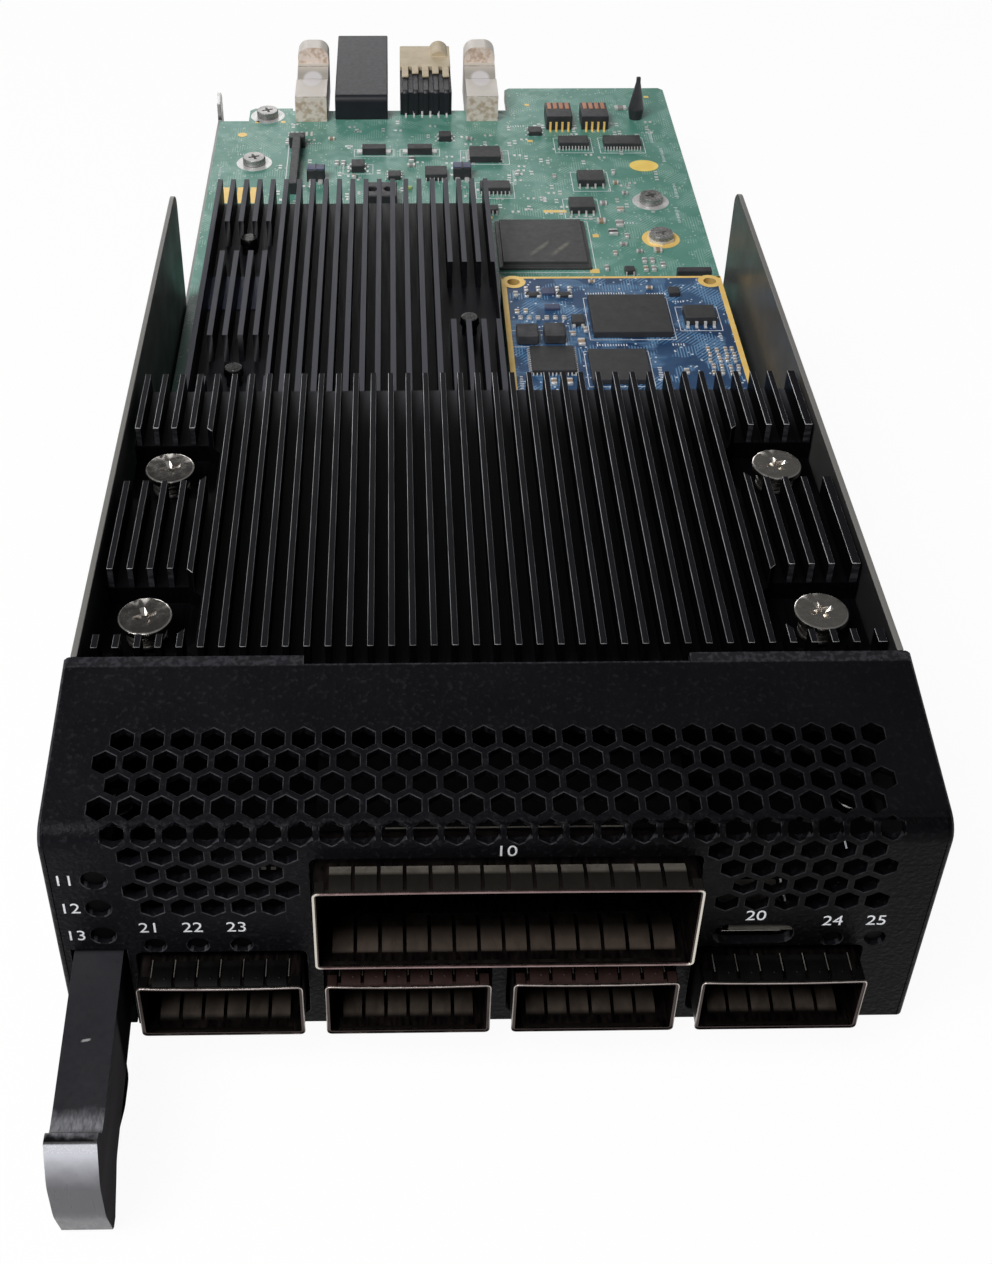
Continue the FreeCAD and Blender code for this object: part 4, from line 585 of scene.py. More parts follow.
moulded("black_plastic", (0.022, 0.022, 0.025), (0.034, 0.034, 0.038), 0.38, 0.55)
moulded("wafer_black", (0.007, 0.007, 0.011), (0.012, 0.012, 0.017), 0.4, 0.55)
moulded("power_plastic", (0.011, 0.0115, 0.0155), (0.015, 0.0155, 0.021), 0.42, 0.5,
        depth=0.004, specular=0.36)
moulded("socket_black", (0.006, 0.006, 0.006), (0.012, 0.012, 0.012), 0.45, 0.6)
moulded("chip_black", (0.027, 0.027, 0.029), (0.037, 0.037, 0.039), 0.42, 0.56, 0.12, 0.006)
moulded("choke_grey", (0.03, 0.03, 0.033), (0.07, 0.07, 0.075), 0.5, 0.7, 0.3, 0.03)
moulded("beige_plastic", (0.6, 0.5, 0.35), (0.5, 0.41, 0.27), 0.42, 0.6)
moulded("label_navy", (0.032, 0.055, 0.18), (0.044, 0.07, 0.23), 0.3, 0.45)
# A near-black sheet that puts painted shade behind the vents.
moulded("vent_shade_sheet", (0.0012, 0.0012, 0.0014), (0.002, 0.002, 0.0022), 0.6, 0.8, specular=0.05)
moulded("pad_grey", (0.26, 0.27, 0.3), (0.34, 0.35, 0.38), 0.6, 0.8)
moulded("clear_plastic", (0.0015, 0.0015, 0.002), (0.003, 0.003, 0.0035), 0.4, 0.5, specular=0.04)
moulded("print_white", (0.86, 0.87, 0.9), (0.74, 0.75, 0.78), 0.5, 0.7)
moulded("sticker_yellow", (1, 0.74, 0.19), (0.94, 0.64, 0.13), 0.4, 0.55)
moulded("ceramic_tan", (0.36, 0.25, 0.16), (0.27, 0.18, 0.11), 0.35, 0.5)
moulded("ceramic_grey", (0.3, 0.29, 0.28), (0.2, 0.19, 0.18), 0.4, 0.55)
moulded("navy_part", (0.07, 0.085, 0.16), (0.05, 0.06, 0.12), 0.35, 0.5)
moulded("light_green", (0.42, 0.55, 0.16), (0.3, 0.42, 0.12), 0.2, 0.3)
f = moulded("large_chip_black", (0.044, 0.043, 0.045), (0.056, 0.055, 0.057), 0.42, 0.56, 0.12,
            0.006)
for x in (16.8, 20.9):
    aside = f.sum("SUBTRACT", f.axis("X"), x * MM)
    along = f.sum("SUBTRACT", f.axis("Y"), 157.4 * MM)
    across = f.sum("ABSOLUTE", f.sum("SUBTRACT", along, f.times(aside, 1.25)))
    f.tint((0.19, 0.185, 0.15), f.span(across, 0.0011, 0.0002),
           f.span(f.sum("ABSOLUTE", aside), 0.0022, 0.0012), f.cloud(1.2, 3, 0.3, 0.6, 0.2, 0.75))
print("with the moulded ones,", len(LOOKS), "finishes")

# %% [markdown]
# ## Circuit boards
# Under a board's solder mask run copper tracks, which show as lighter lines, and the mask is
# dotted with plated holes. The tracks could be drawn one by one; here they are waves laid along,
# across and at a slant, and a coarse noise cuts them into bundles.

# %% Solder mask
def solder_mask(name, mask, track, deep, hole, density, edge):
    f = Finish(name, mask)
    flat = (1, 1, 0)
    f.tint(deep, f.cloud(11, 3, 0.4, 0.65))
    for turn, where, width in ((0, 4.2, 0.5), (90, 5.6, 0.42), (45, 7.5, 0.6)):
        lines = f.node("TexWave", {"Vector": f.stretched(*flat, turn), "Scale": 314 / width})
        bundle = f.cloud(where, 1, 0.56, 0.6, 0, density, (*flat, turn))
        f.tint(track, f.span(lines.outputs["Fac"], 0.55, 0.75), bundle)
    dots = f.node("TexVoronoi", {"Vector": f.stretched(*flat),
                                 "Scale": 1000 / 1.15}).outputs["Distance"]
    f.tint(hole, f.span(dots, 0.2, 0.14), f.cloud(3.1, 2, 0.43, 0.48, stretch=flat))
    f.tint(edge, f.span(f.sum("ABSOLUTE", f.facing("Z")), 0.5, 0.4))
    f.rough(1.5, 3, 0.28, 0.46)
    f.raised(f.span(dots, 0.22, 0.1), 0.02, 0.5)
    f.bump(0.5, 2, 0.01)


solder_mask("green_board", (0.115, 0.298, 0.24), (0.26, 0.45, 0.385), (0.08, 0.25, 0.19),
            (0.46, 0.56, 0.5), 0.75, (0.2, 0.24, 0.16))
solder_mask("blue_board", (0.024, 0.076, 0.17), (0.14, 0.28, 0.46), (0.013, 0.042, 0.11),
            (0.62, 0.68, 0.74), 0.95, (0.6, 0.4, 0.13))
print("with the boards,", len(LOOKS), "finishes")

# %% [markdown]
# ## The faceplate
# The real faceplate is cut flat with all its openings, and then folded in a press brake. It
# could be carved out of a block, but the holes would not follow the bend. So outline and holes
# are filled as one flat sheet, the sheet is scored across the bend, each strip turns a little
# more, and the sheet gets its thickness last.

# %% Faceplate sizes, in millimetres
HALF_WIDTH = 51
PANEL_SHEET = 1.2
FACE_HEIGHT = 34.6
HOOD_SLOPE = math.radians(9.7)
HOOD_RUN = 24.15
BEND_RADIUS = 2.9
BEND_STRIPS = 5
BEND_TURN = math.pi / 2 - HOOD_SLOPE
BEND_SETBACK = BEND_RADIUS * math.tan(BEND_TURN / 2)
BEND_LENGTH = BEND_RADIUS * BEND_TURN
FACE_FLAT = FACE_HEIGHT - BEND_SETBACK
HOOD_FLAT = FACE_FLAT + BEND_LENGTH
SHEET_LENGTH = HOOD_FLAT + HOOD_RUN / math.cos(HOOD_SLOPE) - BEND_SETBACK
HEX_PITCH = 3.47
HEX_REACH = 2.65 / math.sqrt(3)
ROW_STEP = HEX_PITCH * math.sqrt(3) / 2
HEX_FIRST = -44.43
SMALL_PORTS = (-31.88, -9.96, 11.96, 33.88)
WIDE_PORT = 1.15
SMALL_WIDTH, SMALL_FOOT, SMALL_TOP = 19.2, 4, 13.1
WIDE_WIDTH, BOARD_TOP, WIDE_TOP = 43.4, 16.2, 29.6
MODULE_TOP = 24.4
NOTCH_LEFT, NOTCH_RIGHT, NOTCH_TOP = -49.5, -42.9, 14.6
RECESS_LEFT, RECESS_RIGHT, RECESS_DEPTH = -22.2, 24.2, 1.2
CHEEK = 0.8
COLUMN_LIGHTS = [(-45.35, z) for z in (27.2, 22.25, 17.3)]
ROW_LIGHTS = [(x, 15.3) for x in (-39.5, -34.5, -29.4, 39.9, 45)]
print("flat sheet", round(SHEET_LENGTH, 2), "long")

# %% Outline and openings of the flat sheet
def loop(shape, corners):
    verts = [shape.verts.new((x, 0, z)) for x, z in corners]
    return [shape.edges.new((verts[i - 1], verts[i])) for i in range(len(verts))]


def ring(x, z, radius, sides, turn=0):
    return [(x + radius * math.cos(turn + 2 * math.pi * i / sides),
             z + radius * math.sin(turn + 2 * math.pi * i / sides)) for i in range(sides)]


def soft_rectangle(left, right, foot, top, corner):
    corners = []
    for x, z, start in ((right, top, 0), (left, top, 90), (left, foot, 180), (right, foot, 270)):
        inner_x = x - corner if x == right else x + corner
        inner_z = z - corner if z == top else z + corner
        for step in range(4):
            angle = math.radians(start + 30 * step)
            corners.append((inner_x + corner * math.cos(angle), inner_z + corner * math.sin(angle)))
    return corners


recess = SHEET_LENGTH - RECESS_DEPTH
rim = [(-HALF_WIDTH, 0), (NOTCH_LEFT, 0), (NOTCH_LEFT, NOTCH_TOP), (NOTCH_RIGHT, NOTCH_TOP),
       (NOTCH_RIGHT, 0), (HALF_WIDTH, 0), (HALF_WIDTH, SHEET_LENGTH), (RECESS_RIGHT, SHEET_LENGTH),
       (RECESS_RIGHT, recess), (RECESS_LEFT, recess), (RECESS_LEFT, SHEET_LENGTH),
       (-HALF_WIDTH, SHEET_LENGTH)]
HOOD_ROW = HOOD_FLAT - BEND_SETBACK + 3.7
rows = [(row % 2 / 2, 26, HOOD_ROW + row * ROW_STEP) for row in range(4)]
rows += [(0.5, 26, FACE_FLAT + BEND_LENGTH / 2)]
for group in (((1, 6), (1.5, 5), (1, 6), (1.5, 5)), ((20, 6), (20.5, 6), (21, 5), (20.5, 6))):
    rows += [(start, count, FACE_HEIGHT - 3.38 - row * ROW_STEP)
             for row, (start, count) in enumerate(group)]
hexagons = [(HEX_FIRST + (start + column) * HEX_PITCH, height)
            for start, count, height in rows for column in range(count)]
print(len(hexagons), "hexagonal vents")

# %% Fill, fold and thicken the sheet
def everything(shape):
    return shape.faces[:] + shape.edges[:] + shape.verts[:]


panel = bmesh.new()
openings = [ring(x, z, HEX_REACH, 6, math.pi / 2) for x, z in hexagons]
openings += [ring(x, z, 1.5, 20) for x, z in COLUMN_LIGHTS]
openings += [ring(x, z, 1.28, 18) for x, z in ROW_LIGHTS]
openings += [soft_rectangle(x - 10.05, x + 10.05, 1.8, 14, 0.8) for x in SMALL_PORTS]
openings += [soft_rectangle(WIDE_PORT - 22.15, WIDE_PORT + 22.15, 15.75, 30.5, 0.8),
             soft_rectangle(25.835, 35.235, 14.6, 18, 1.6)]
loops = [edge for corners in [rim] + openings for edge in loop(panel, corners)]
bmesh.ops.triangle_fill(panel, use_beauty=True, edges=loops, normal=(0, -1, 0))
bmesh.ops.dissolve_limit(panel, angle_limit=0.01, verts=panel.verts, edges=panel.edges)
lines = [FACE_FLAT + BEND_LENGTH * strip / BEND_STRIPS for strip in range(BEND_STRIPS + 1)]
for line in lines:
    bmesh.ops.bisect_plane(panel, geom=panel.verts[:] + panel.edges[:] + panel.faces[:],
                           dist=1e-5, plane_co=(0, 0, line), plane_no=(0, 0, 1))
flat = {vert: vert.co.z for vert in panel.verts}
for i, line in reversed(list(enumerate(lines))):
    share = 0.5 if i in (0, BEND_STRIPS) else 1
    turn = Matrix.Rotation(-BEND_TURN * share / BEND_STRIPS, 3, "X")
    bmesh.ops.rotate(panel, cent=(0, 0, line), matrix=turn,
                     verts=[vert for vert, height in flat.items() if height > line + 1e-4])
bmesh.ops.recalc_face_normals(panel, faces=panel.faces)
if sum(face.normal.y * face.calc_area() for face in panel.faces) > 0:
    bmesh.ops.reverse_faces(panel, faces=panel.faces)
bmesh.ops.solidify(panel, geom=everything(panel), thickness=PANEL_SHEET)
print("folded: top", round(max(v.co.z for v in panel.verts), 2))

# %% [markdown]
# Powder coat builds up round on a cut edge, so the vents' outer edges are eased, and the finish
# paints a thin highlight along them. The two cheeks are plates along the sheet's own side line,
# with the same corner radius, so that face and cheek meet in one curve.

# %% Eased edges and cheeks
def at_side(edge):
    return all(abs(abs(vert.co.x) - HALF_WIDTH) < 1e-4 for vert in edge.verts)


outer_sides = [e for e in panel.edges if sharp(e, 60) and at_side(e) and any(
    abs(f.normal.x) < 0.5 and (f.normal.y < -0.05 or f.normal.z > 0.5) for f in e.link_faces)]
bevel(panel, outer_sides, 0.7, 4)
rims = [e for e in panel.edges if sharp(e, 70) and max(abs(v.co.x) for v in e.verts) <= 50.1
        and any(f.normal.y < -0.12 and f.normal.z > -0.01 and abs(f.normal.x) < 0.02
                for f in e.link_faces)]
bevel(panel, rims, 0.1, 1)
print(len(outer_sides), "side edges,", len(rims), "rim edges")
for side in SIDES:
    spot = Vector((0, FACE_FLAT))
    line = [(0, 0), tuple(spot)]
    for i in range(BEND_STRIPS):
        turn = BEND_TURN * (i + 0.5) / BEND_STRIPS
        spot = spot + Vector((math.sin(turn), math.cos(turn))) * BEND_LENGTH / BEND_STRIPS
        line.append(tuple(spot))
    hood_top = FACE_HEIGHT + HOOD_RUN * math.tan(HOOD_SLOPE)
    line += [(HOOD_RUN, hood_top), (HOOD_RUN, hood_top - 12), (10, 0)]
    verts = pulled(panel, [(side * (HALF_WIDTH - CHEEK), y, z) for y, z in line],
                   (side * CHEEK, 0, 0))
    bevel(panel, [e for e in edges_in(verts) if at_side(e)], 0.68, 4)
piece("faceplate", panel, "black_texture", covers=("front_panel",), sharp_over=45)

# %% [markdown]
# ## The port cages
# A port cage is a thin plated tube with a rolled, slightly bowed lip round its mouth. The tube
# could be a hollow box, but its corners are folded, so a rounded outline is pulled back and
# given a wall.

# %% Cage and lip
def bow(verts, x, half, top, rise):
    for vert in verts:
        if vert.co.z > top - 0.8:
            vert.co.z += rise * max(0, 1 - ((vert.co.x - x) / half) ** 2)


def cage_tube(x, width, foot, top, front, rear, corner, wall):
    shape = bmesh.new()
    outline = [shape.verts.new((cx, front, cz)) for cx, cz in soft_rectangle(
        x - width / 2, x + width / 2, foot, top, corner)]
    mouth = [shape.edges.new((outline[i - 1], outline[i])) for i in range(len(outline))]
    bmesh.ops.subdivide_edges(shape, edges=[e for e in mouth if e.calc_length() > 5], cuts=10)
    far = verts_in(bmesh.ops.extrude_edge_only(shape, edges=shape.edges[:]))
    bmesh.ops.translate(shape, vec=(0, rear - front, 0), verts=far)
    bmesh.ops.recalc_face_normals(shape, faces=shape.faces)
    middle = (foot + top) / 2
    if sum((f.calc_center_median().z - middle) * f.normal.z for f in shape.faces) < 0:
        bmesh.ops.reverse_faces(shape, faces=shape.faces)
    bmesh.ops.solidify(shape, geom=everything(shape), thickness=wall)
    return shape


def cage(kind, x, width, foot, top, lip, rear, rise, lip_finish, lip_wall):
    tube = cage_tube(x, width, foot, top, -lip, rear, 0.55, 0.35)
    bow([v for v in tube.verts if v.co.y < -lip + 0.5], x, width / 2, top, rise)
    block(tube, x - width / 2 + 0.1, x + width / 2 - 0.1, rear - 0.4, rear, foot + 0.1, top - 0.1)
    name, node = kind.format("cage"), kind.format("port_cage")
    piece(name, tube, "port_nickel", covers=(node,))
    shape = cage_tube(x, width + 0.16, foot - 0.08, top + 0.08, -lip - 0.13, -lip + 0.18, 0.6,
                      lip_wall)
    bow(shape.verts, x, width / 2, top, rise)
    bevel(shape, [e for e in shape.edges if sharp(e, 68.75)], 0.07)
    piece(name + "_lip", shape, lip_finish, "port_nickel")

# %% [markdown]
# Spring fingers wrap the lip: outside they press on the faceplate, inside on the plug. Each is a
# strip that arches up and comes down again, pulled out of its side outline. An outer finger of a
# small cage has a pressed dimple where it touches the faceplate.

# %% Spring fingers
FINGER_INSET, FINGER_GAP = 1.6, 0.22
ARCH = [(0, 0), (0.14, 0.45), (0.32, 0.85), (0.52, 1), (0.72, 0.86), (0.88, 0.5), (1, 0.12)]


def arched(shape, left, right, front, reach, level, rise, sheet=0.12):
    upper = [(left, front + share * reach, level + sheet + height * rise) for share, height in ARCH]
    lower = [(x, y, z - sheet) for x, y, z in reversed(upper)]
    pulled(shape, upper + lower, (right - left, 0, 0))


def finger_rows(kind, x, width, foot, top, lip, count, rise, finish):
    shape = bmesh.new()
    half, pitch = width / 2, (width - 2 * FINGER_INSET) / count
    for i in range(count):
        left = x - half + FINGER_INSET + i * pitch + FINGER_GAP
        right = left + pitch - 2 * FINGER_GAP
        arched(shape, left, right, -lip + 0.1, 3.5, top, rise)
        arched(shape, left, right, -lip + 1.8, 5.2, foot + 0.36, 0.6)
        if width < 30:
            dimple = moved((left + right) / 2 + 0.3, -lip + 1.15, top + rise * 0.72)
            bmesh.ops.create_icosphere(shape, subdivisions=2, radius=1,
                                       matrix=dimple @ Matrix.Diagonal((0.32, 0.32, 0.2, 1)))
    for side in SIDES:
        edge = x + side * (half - 0.75)
        block(shape, edge - 0.55, edge + 0.55, -lip + 0.05, -lip + 1.5, top + 0.02, top + 0.18,
              0.05)
    for inset, front, rear, low, high, edge in (
            (1.4, 0.02, 0.45, top, top + 0.13, 0.04),
            (1.4, 0.2, 0.6, foot + 0.34, foot + 0.5, 0.04),
            (1.8, 7, 7.14, foot + 0.4, foot + 0.52, 0)):
        block(shape, x - half + inset, x + half - inset, -lip + front, -lip + rear, low, high, edge)
    piece(kind.format("fingers"), shape, finish, "contact_nickel",
          covers=(kind.format("port_fingers"),))

# %% Five cages with their fingers
WIDE = WIDE_PORT, WIDE_WIDTH, BOARD_TOP, WIDE_TOP, 4
SMALL = SMALL_WIDTH, SMALL_FOOT, SMALL_TOP, 4.3
KINDS = [(f"small_{{}}_{number}", x) for number, x in enumerate(SMALL_PORTS, 1)]
cage("wide_{}", *WIDE, 84, 0.12, "lip_nickel", 0.3)
for kind, x in KINDS:
    cage(kind, x, *SMALL, 46, -0.22, "small_lip_nickel", 0.15)
seams = bmesh.new()
for x in SMALL_PORTS:
    for i in range(7):
        at = x - SMALL_WIDTH / 2 + FINGER_INSET + i * (SMALL_WIDTH - 2 * FINGER_INSET) / 6
        block(seams, at - 0.05, at + 0.05, -3, -0.6, SMALL_TOP + 0.22, SMALL_TOP + 0.34)
piece("finger_seams", seams, "bar_nickel", "contact_nickel")
finger_rows("wide_{}", *WIDE, 14, 0.42, "wide_finger_nickel")
# Ports 1 and 4 take a darker copy of the finger plating than ports 2 and 3: painted shade, as all
# four are one plating.
for (kind, x), colour in zip(KINDS, ("dark", "brown", "brown", "dark")):
    finger_rows(kind, x, *SMALL, 6, 0.45, colour + "_finger_nickel")

# %% [markdown]
# A thin near-black sheet lies on the board and on the wide cage behind the vents, a painted
# shade, so that little shows through them but a strip, some solder pads and two pale rods, light
# pipes whose white is a painted highlight.

# %% What lies behind the vents
def blocks(name, finish, slot, boxes, body="card"):
    shape = bmesh.new()
    for box in boxes:
        block(shape, *box)
    return piece(name, shape, finish, slot, body)


B, M = BOARD_TOP, MODULE_TOP
blocks("vent_shade_sheet", "vent_shade_sheet", "black_sheet", (
    (-49.2, WIDE_PORT - 21.9, 2, 36, B + 0.05, B + 0.3),
    (WIDE_PORT + 21.9, 49.2, 2, 36, B + 0.05, B + 0.3),
    (WIDE_PORT - 21.6, WIDE_PORT + 21.6, 4.6, 30, WIDE_TOP + 0.1, WIDE_TOP + 0.35)))
blocks("cage_strip", "bar_nickel", "nickel",
       ((-12.5, 15, 4.75, 4.93, WIDE_TOP + 0.34, WIDE_TOP + 0.42),))
blocks("vent_pads", "bar_nickel", "nickel", [
    (x - 0.3, x + 0.3, y - 0.2, y + 0.2, B + 0.28, B + 0.36) for x, y in (
        (-28.6, 10.2), (-27.4, 10.2), (-26.2, 10.2), (-23.4, 9), (-22.6, 9), (-23.6, 13.6),
        (-22.7, 13.6), (-29, 6.4), (-24.2, 6.2), (-35.6, 11.4), (-33.9, 11.4), (42.2, 7),
        (38.6, 9.2))])
# Two pale rods: light pipes, painted white as a highlight.
pipe_glint_rods = bmesh.new()
rod(pipe_glint_rods, (34.7, 3, 18), (34.7, 6.6, 18), 0.14, 10)
rod(pipe_glint_rods, (43.7, 10.8, 18), (43.7, 14.1, 18), 0.14, 10)
piece("behind_vents", pipe_glint_rods, "print_white", "black_sheet")

# %% Host sockets and light pipes
eased("wide_port_socket", "socket_black", 0.15, slot="black_plastic")
eased("small_port_sockets", "socket_black", 0.15, slot="black_plastic")
eased("service_socket", "nickel", 0.06)
eased("light_pipes", "clear_plastic", 0.1)
blocks("service_socket_edge", "bar_nickel", "nickel", ((27.7, 35.3, 0.75, 1, 16.1, 16.75),))

# %% [markdown]
# Small white figures stand beside the lights and over the ports. Type can be projected as a
# texture, but thin solid figures need no image, so each is set from the built-in font, turned
# into a mesh and laid on the face, a hair proud.

# %% Plain white figures
def figure(shape, text, x, z):
    curve = bpy.data.curves.new("figure_" + text, "FONT")
    curve.body = text
    curve.size = 2.5
    curve.align_x = curve.align_y = "CENTER"
    curve.extrude = 0.012
    letter = placed("type", curve)
    bpy.context.view_layer.update()
    mesh = bpy.data.meshes.new_from_object(letter)
    bpy.data.objects.remove(letter)
    mesh.transform(moved(x, -0.004, z) @ Matrix.Rotation(math.pi / 2, 4, "X"))
    shape.from_mesh(mesh)
    bpy.data.meshes.remove(mesh)


marks = bmesh.new()
for number, (x, z) in enumerate(COLUMN_LIGHTS, 11):
    figure(marks, str(number), 0.1 * number - 49.8, z)
for number, (x, z) in enumerate(ROW_LIGHTS, 21):
    figure(marks, str(number), x - 0.4, 18.6)
figure(marks, "10", WIDE_PORT - 0.1, 31.6)
figure(marks, "20", 30.4, 19.7)
piece("face_figures", marks, "print_white", "black_texture")

# %% [markdown]
# ## Tray and heatsinks
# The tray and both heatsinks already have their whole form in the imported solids. What they lack
# is the eased edge that catches a line of light along every fin, so they are eased copies.

# %% Tray, heatsinks and what holds them
eased("tray", "black_sheet", 0.12, 1)
eased("front_heatsink", "black_anodised_front", 0.15, 1, "black_anodised")
eased("rear_heatsink", "black_anodised_rear", 0.12, 1, "black_anodised")
eased("sink_label", "label_navy", 0)
eased("thermal_pad", "pad_grey", 0)
eased("processor", "chip_black", 0.15)
eased("sink_standoffs", "standoff_steel", 0.12)
eased("board_standoffs", "standoff_steel", 0.12)
eased("module_standoffs", "standoff_steel", 0.1)
eased("module_connector", "black_plastic", 0.15)

# %% [markdown]
# ## Screws and springs
# A screw's head is turned, and its cross recess is then punched. A recess could be cut with a
# boolean, but a disc filled round a cross-shaped hole is cleaner: the hole's edge is pushed down
# and drawn in, and the rim is pulled down ring by ring. A spring is a small circle in one spin.

# %% A cross-recess screw
def cross(shape, centre, reach, width):
    spots = []
    for quarter in range(4):
        angle = quarter * math.pi / 2 + math.radians(20)
        ahead = Vector((math.cos(angle), math.sin(angle), 0))
        aside = Vector((-ahead.y, ahead.x, 0))
        for along, across in ((width, -width), (reach, -width * 0.8), (reach, width * 0.8)):
            spots.append(centre + ahead * along + aside * across)
    verts = [shape.verts.new(spot) for spot in spots]
    return [shape.edges.new((verts[i - 1], verts[i])) for i in range(len(verts))]


def drawn(shape, edges, drop, share, centre):
    made = bmesh.ops.extrude_edge_only(shape, edges=edges)
    verts = verts_in(made)
    bmesh.ops.translate(shape, vec=(0, 0, drop), verts=verts)
    bmesh.ops.scale(shape, vec=(share, share, 1), verts=verts, space=moved(-centre.x, -centre.y, 0))
    return [part for part in made["geom"] if isinstance(part, bmesh.types.BMEdge)
            and all(end in verts for end in part.verts)]


def screw_head(shape, x, y, foot, top, radius, reach, width, sides=40):
    centre, tall = Vector((x, y, top)), top - foot
    rim = edges_in(bmesh.ops.create_circle(shape, segments=sides, radius=radius * 0.93,
                                           matrix=moved(*centre))["verts"])
    recess = cross(shape, centre, reach, width)
    bmesh.ops.triangle_fill(shape, edges=rim + recess, normal=(0, 0, 1), use_beauty=True)
    bottom = drawn(shape, recess, -tall * 0.8, 0.5, centre)
    bmesh.ops.triangle_fill(shape, edges=bottom, normal=(0, 0, 1), use_beauty=True)
    for drop, grow in ((0.1, 0.985 / 0.93), (0.1, 1 / 0.985), (tall - 0.32, 1), (0.12, 0.9)):
        rim = drawn(shape, rim, -drop, grow, centre)
    bmesh.ops.recalc_face_normals(shape, faces=shape.faces)


def coil(shape, x, y, foot, top, radius, wire, turns, steps=22):
    start = bmesh.ops.create_circle(
        shape, segments=8, radius=wire, cap_ends=False,
        matrix=moved(x + radius, y, foot + wire) @ Matrix.Rotation(math.pi / 2, 4, "X"))["verts"]
    rise = (top - foot - 2 * wire) / (turns * steps)
    bmesh.ops.spin(shape, geom=start + edges_in(start), cent=(x, y, 0), axis=(0, 0, 1),
                   dvec=(0, 0, rise), angle=2 * math.pi * turns, steps=int(turns * steps),
                   use_merge=False)


for number, (x, y) in enumerate(((-42.7, 34.4), (42.7, 34.4), (-42.7, 65), (42.7, 65)), 1):
    head = bmesh.new()
    screw_head(head, x, y, 35.1, 36, 3.45, 1.6, 0.42)
    rod(head, (x, y, 23), (x, y, 35.2), 1.5, 20)
    piece(f"spring_screw_{number}", head, "screw_nickel", "nickel",
          covers=(f"sink_screw_{number}",), sharp_over=30)
    spring = bmesh.new()
    coil(spring, x, y, 31.7, 35.1, 2.35, 0.3, 3.2)
    piece(f"screw_spring_{number}", spring, "spring_steel", "nickel",
          covers=(f"sink_spring_{number}",))

# %% [markdown]
# Two of the board screws sit under the hood, so they take a darker steel, painted shade, and have
# no ring. The others stand on tinned rings, and the last one on a nut and a gilt ring.

# %% Board screws on their plated rings, and push pins
BOARD_SCREWS = ((-46.4, 20), (46.4, 20), (-40.3, 196), (-38.75, 218.4), (40.9, 178.6),
                (41, 163.4))
rings, gold_rings, pins = bmesh.new(), bmesh.new(), bmesh.new()
for number, (x, y) in enumerate(BOARD_SCREWS, 1):
    head = bmesh.new()
    screw_head(head, x, y, B, B + 1.5, 2.35, 1.2, 0.3, 32)
    rod(head, (x, y, 8.8), (x, y, B + 0.2), 1.4, 16)
    # Screws 1 and 2, under the hood, take the darker steel: painted shade.
    piece(f"pan_screw_{number}", head, "pan_steel" if number > 2 else "pin_steel", "nickel",
          covers=(f"board_screw_{number}",), sharp_over=30)
    if number > 2:
        rod(gold_rings if number == 6 else rings, (x, y, B - 0.02), (x, y, B + 0.05), 3.7, 36)
    if number == 6:
        rod(rings, (x, y, B), (x, y, B + 0.62), 2.75, 6, 2.7, 0.08)
piece("screw_rings", rings, "solder_tin", "nickel")
piece("gold_rings", gold_rings, "gold_plate", "nickel")
for x, y in ((-37.6, 146.4), (-37.3, 104), (1.7, 119)):
    rod(pins, (x, y, 12.6), (x, y, 23.5), 1, 16)
    rod(pins, (x, y, 23.3), (x, y, 25.3), 1.35, 24, 1.2)
    rod(pins, (x, y, 25.2), (x, y, 26.6), 1.7, 28, 1.45, 0.2)
    block(pins, x - 0.2, x + 0.2, y - 1.1, y + 1.1, 26.5, 26.62, 0.03, 1)
piece("push_pins_turned", pins, "pin_steel", "nickel", covers=("push_pins",), sharp_over=30)

# %% [markdown]
# ## The ejector lever
# The lever is one casting that swings on its pin, so its pieces ride on the lever body. The
# solid's profile is right, and its edges are eased more than the rest, as handled edges are. A
# small heel under its root closes the gap beside the first cage.

# %% Lever, grip, heel, bracket and pin
lever = eased("ejector_lever", "lever_black", 0.28, 3, None, "lever", 50, 35)
# Faces that look sideways take the shaded copy of the coat.
lever.data.materials.append(LOOKS["lever_flank"])
for face in lever.data.polygons:
    if abs(face.normal.x) > 0.9:
        face.material_index = 1
grip = eased("lever_grip", "grip_black", 0.5, 3, None, "lever", 50)
for vert in grip.data.vertices:
    if vert.co.z < 0.8 * MM:
        vert.co.z -= 0.7 * MM
blocks("lever_heel", "lever_flank", "lever_black", ((-49, -43.05, 0, 5.6, 0.1, 3.8, 0.15),),
       "lever")
eased("lever_bracket", "black_sheet", 0.12)
eased("lever_pin", "nickel", 0.12)

# %% [markdown]
# ## Boards and chips
# The boards and their larger chips keep the solids' outlines. What makes them read as electronics
# is small: leads, tinned ends, pads, print. Each could be its own object, but one shape per metal
# or plastic collects all the copies, so that hundreds of tiny forms stay a handful of pieces.

# %% The boards and their big parts
eased("main_board", "green_board", 0.08, 1)
eased("module_board", "blue_board", 0.08, 1)
eased("board_chips", "chip_black", 0.14)
eased("large_chip", "large_chip_black", 0.16, slot="chip_black")
eased("module_chips", "chip_black", 0.12)
eased("module_chokes", "choke_grey", 0.35, 3)
eased("power_parts", "black_plastic", 0.18, slot="choke_grey")
eased("upright_parts", "black_plastic", 0.14)
eased("pin_header", "black_plastic", 0.15)
eased("terminal_socket", "black_plastic", 0.2)

# %% Helpers for leads, terminals and print
tin, gold, copper, tan, grey, dark, navy, ink = (bmesh.new() for kind in range(8))


def slab(shape, x, y, width, depth, foot, top, edge=0, steps=2):
    block(shape, x - width / 2, x + width / 2, y - depth / 2, y + depth / 2, foot, top, edge, steps)


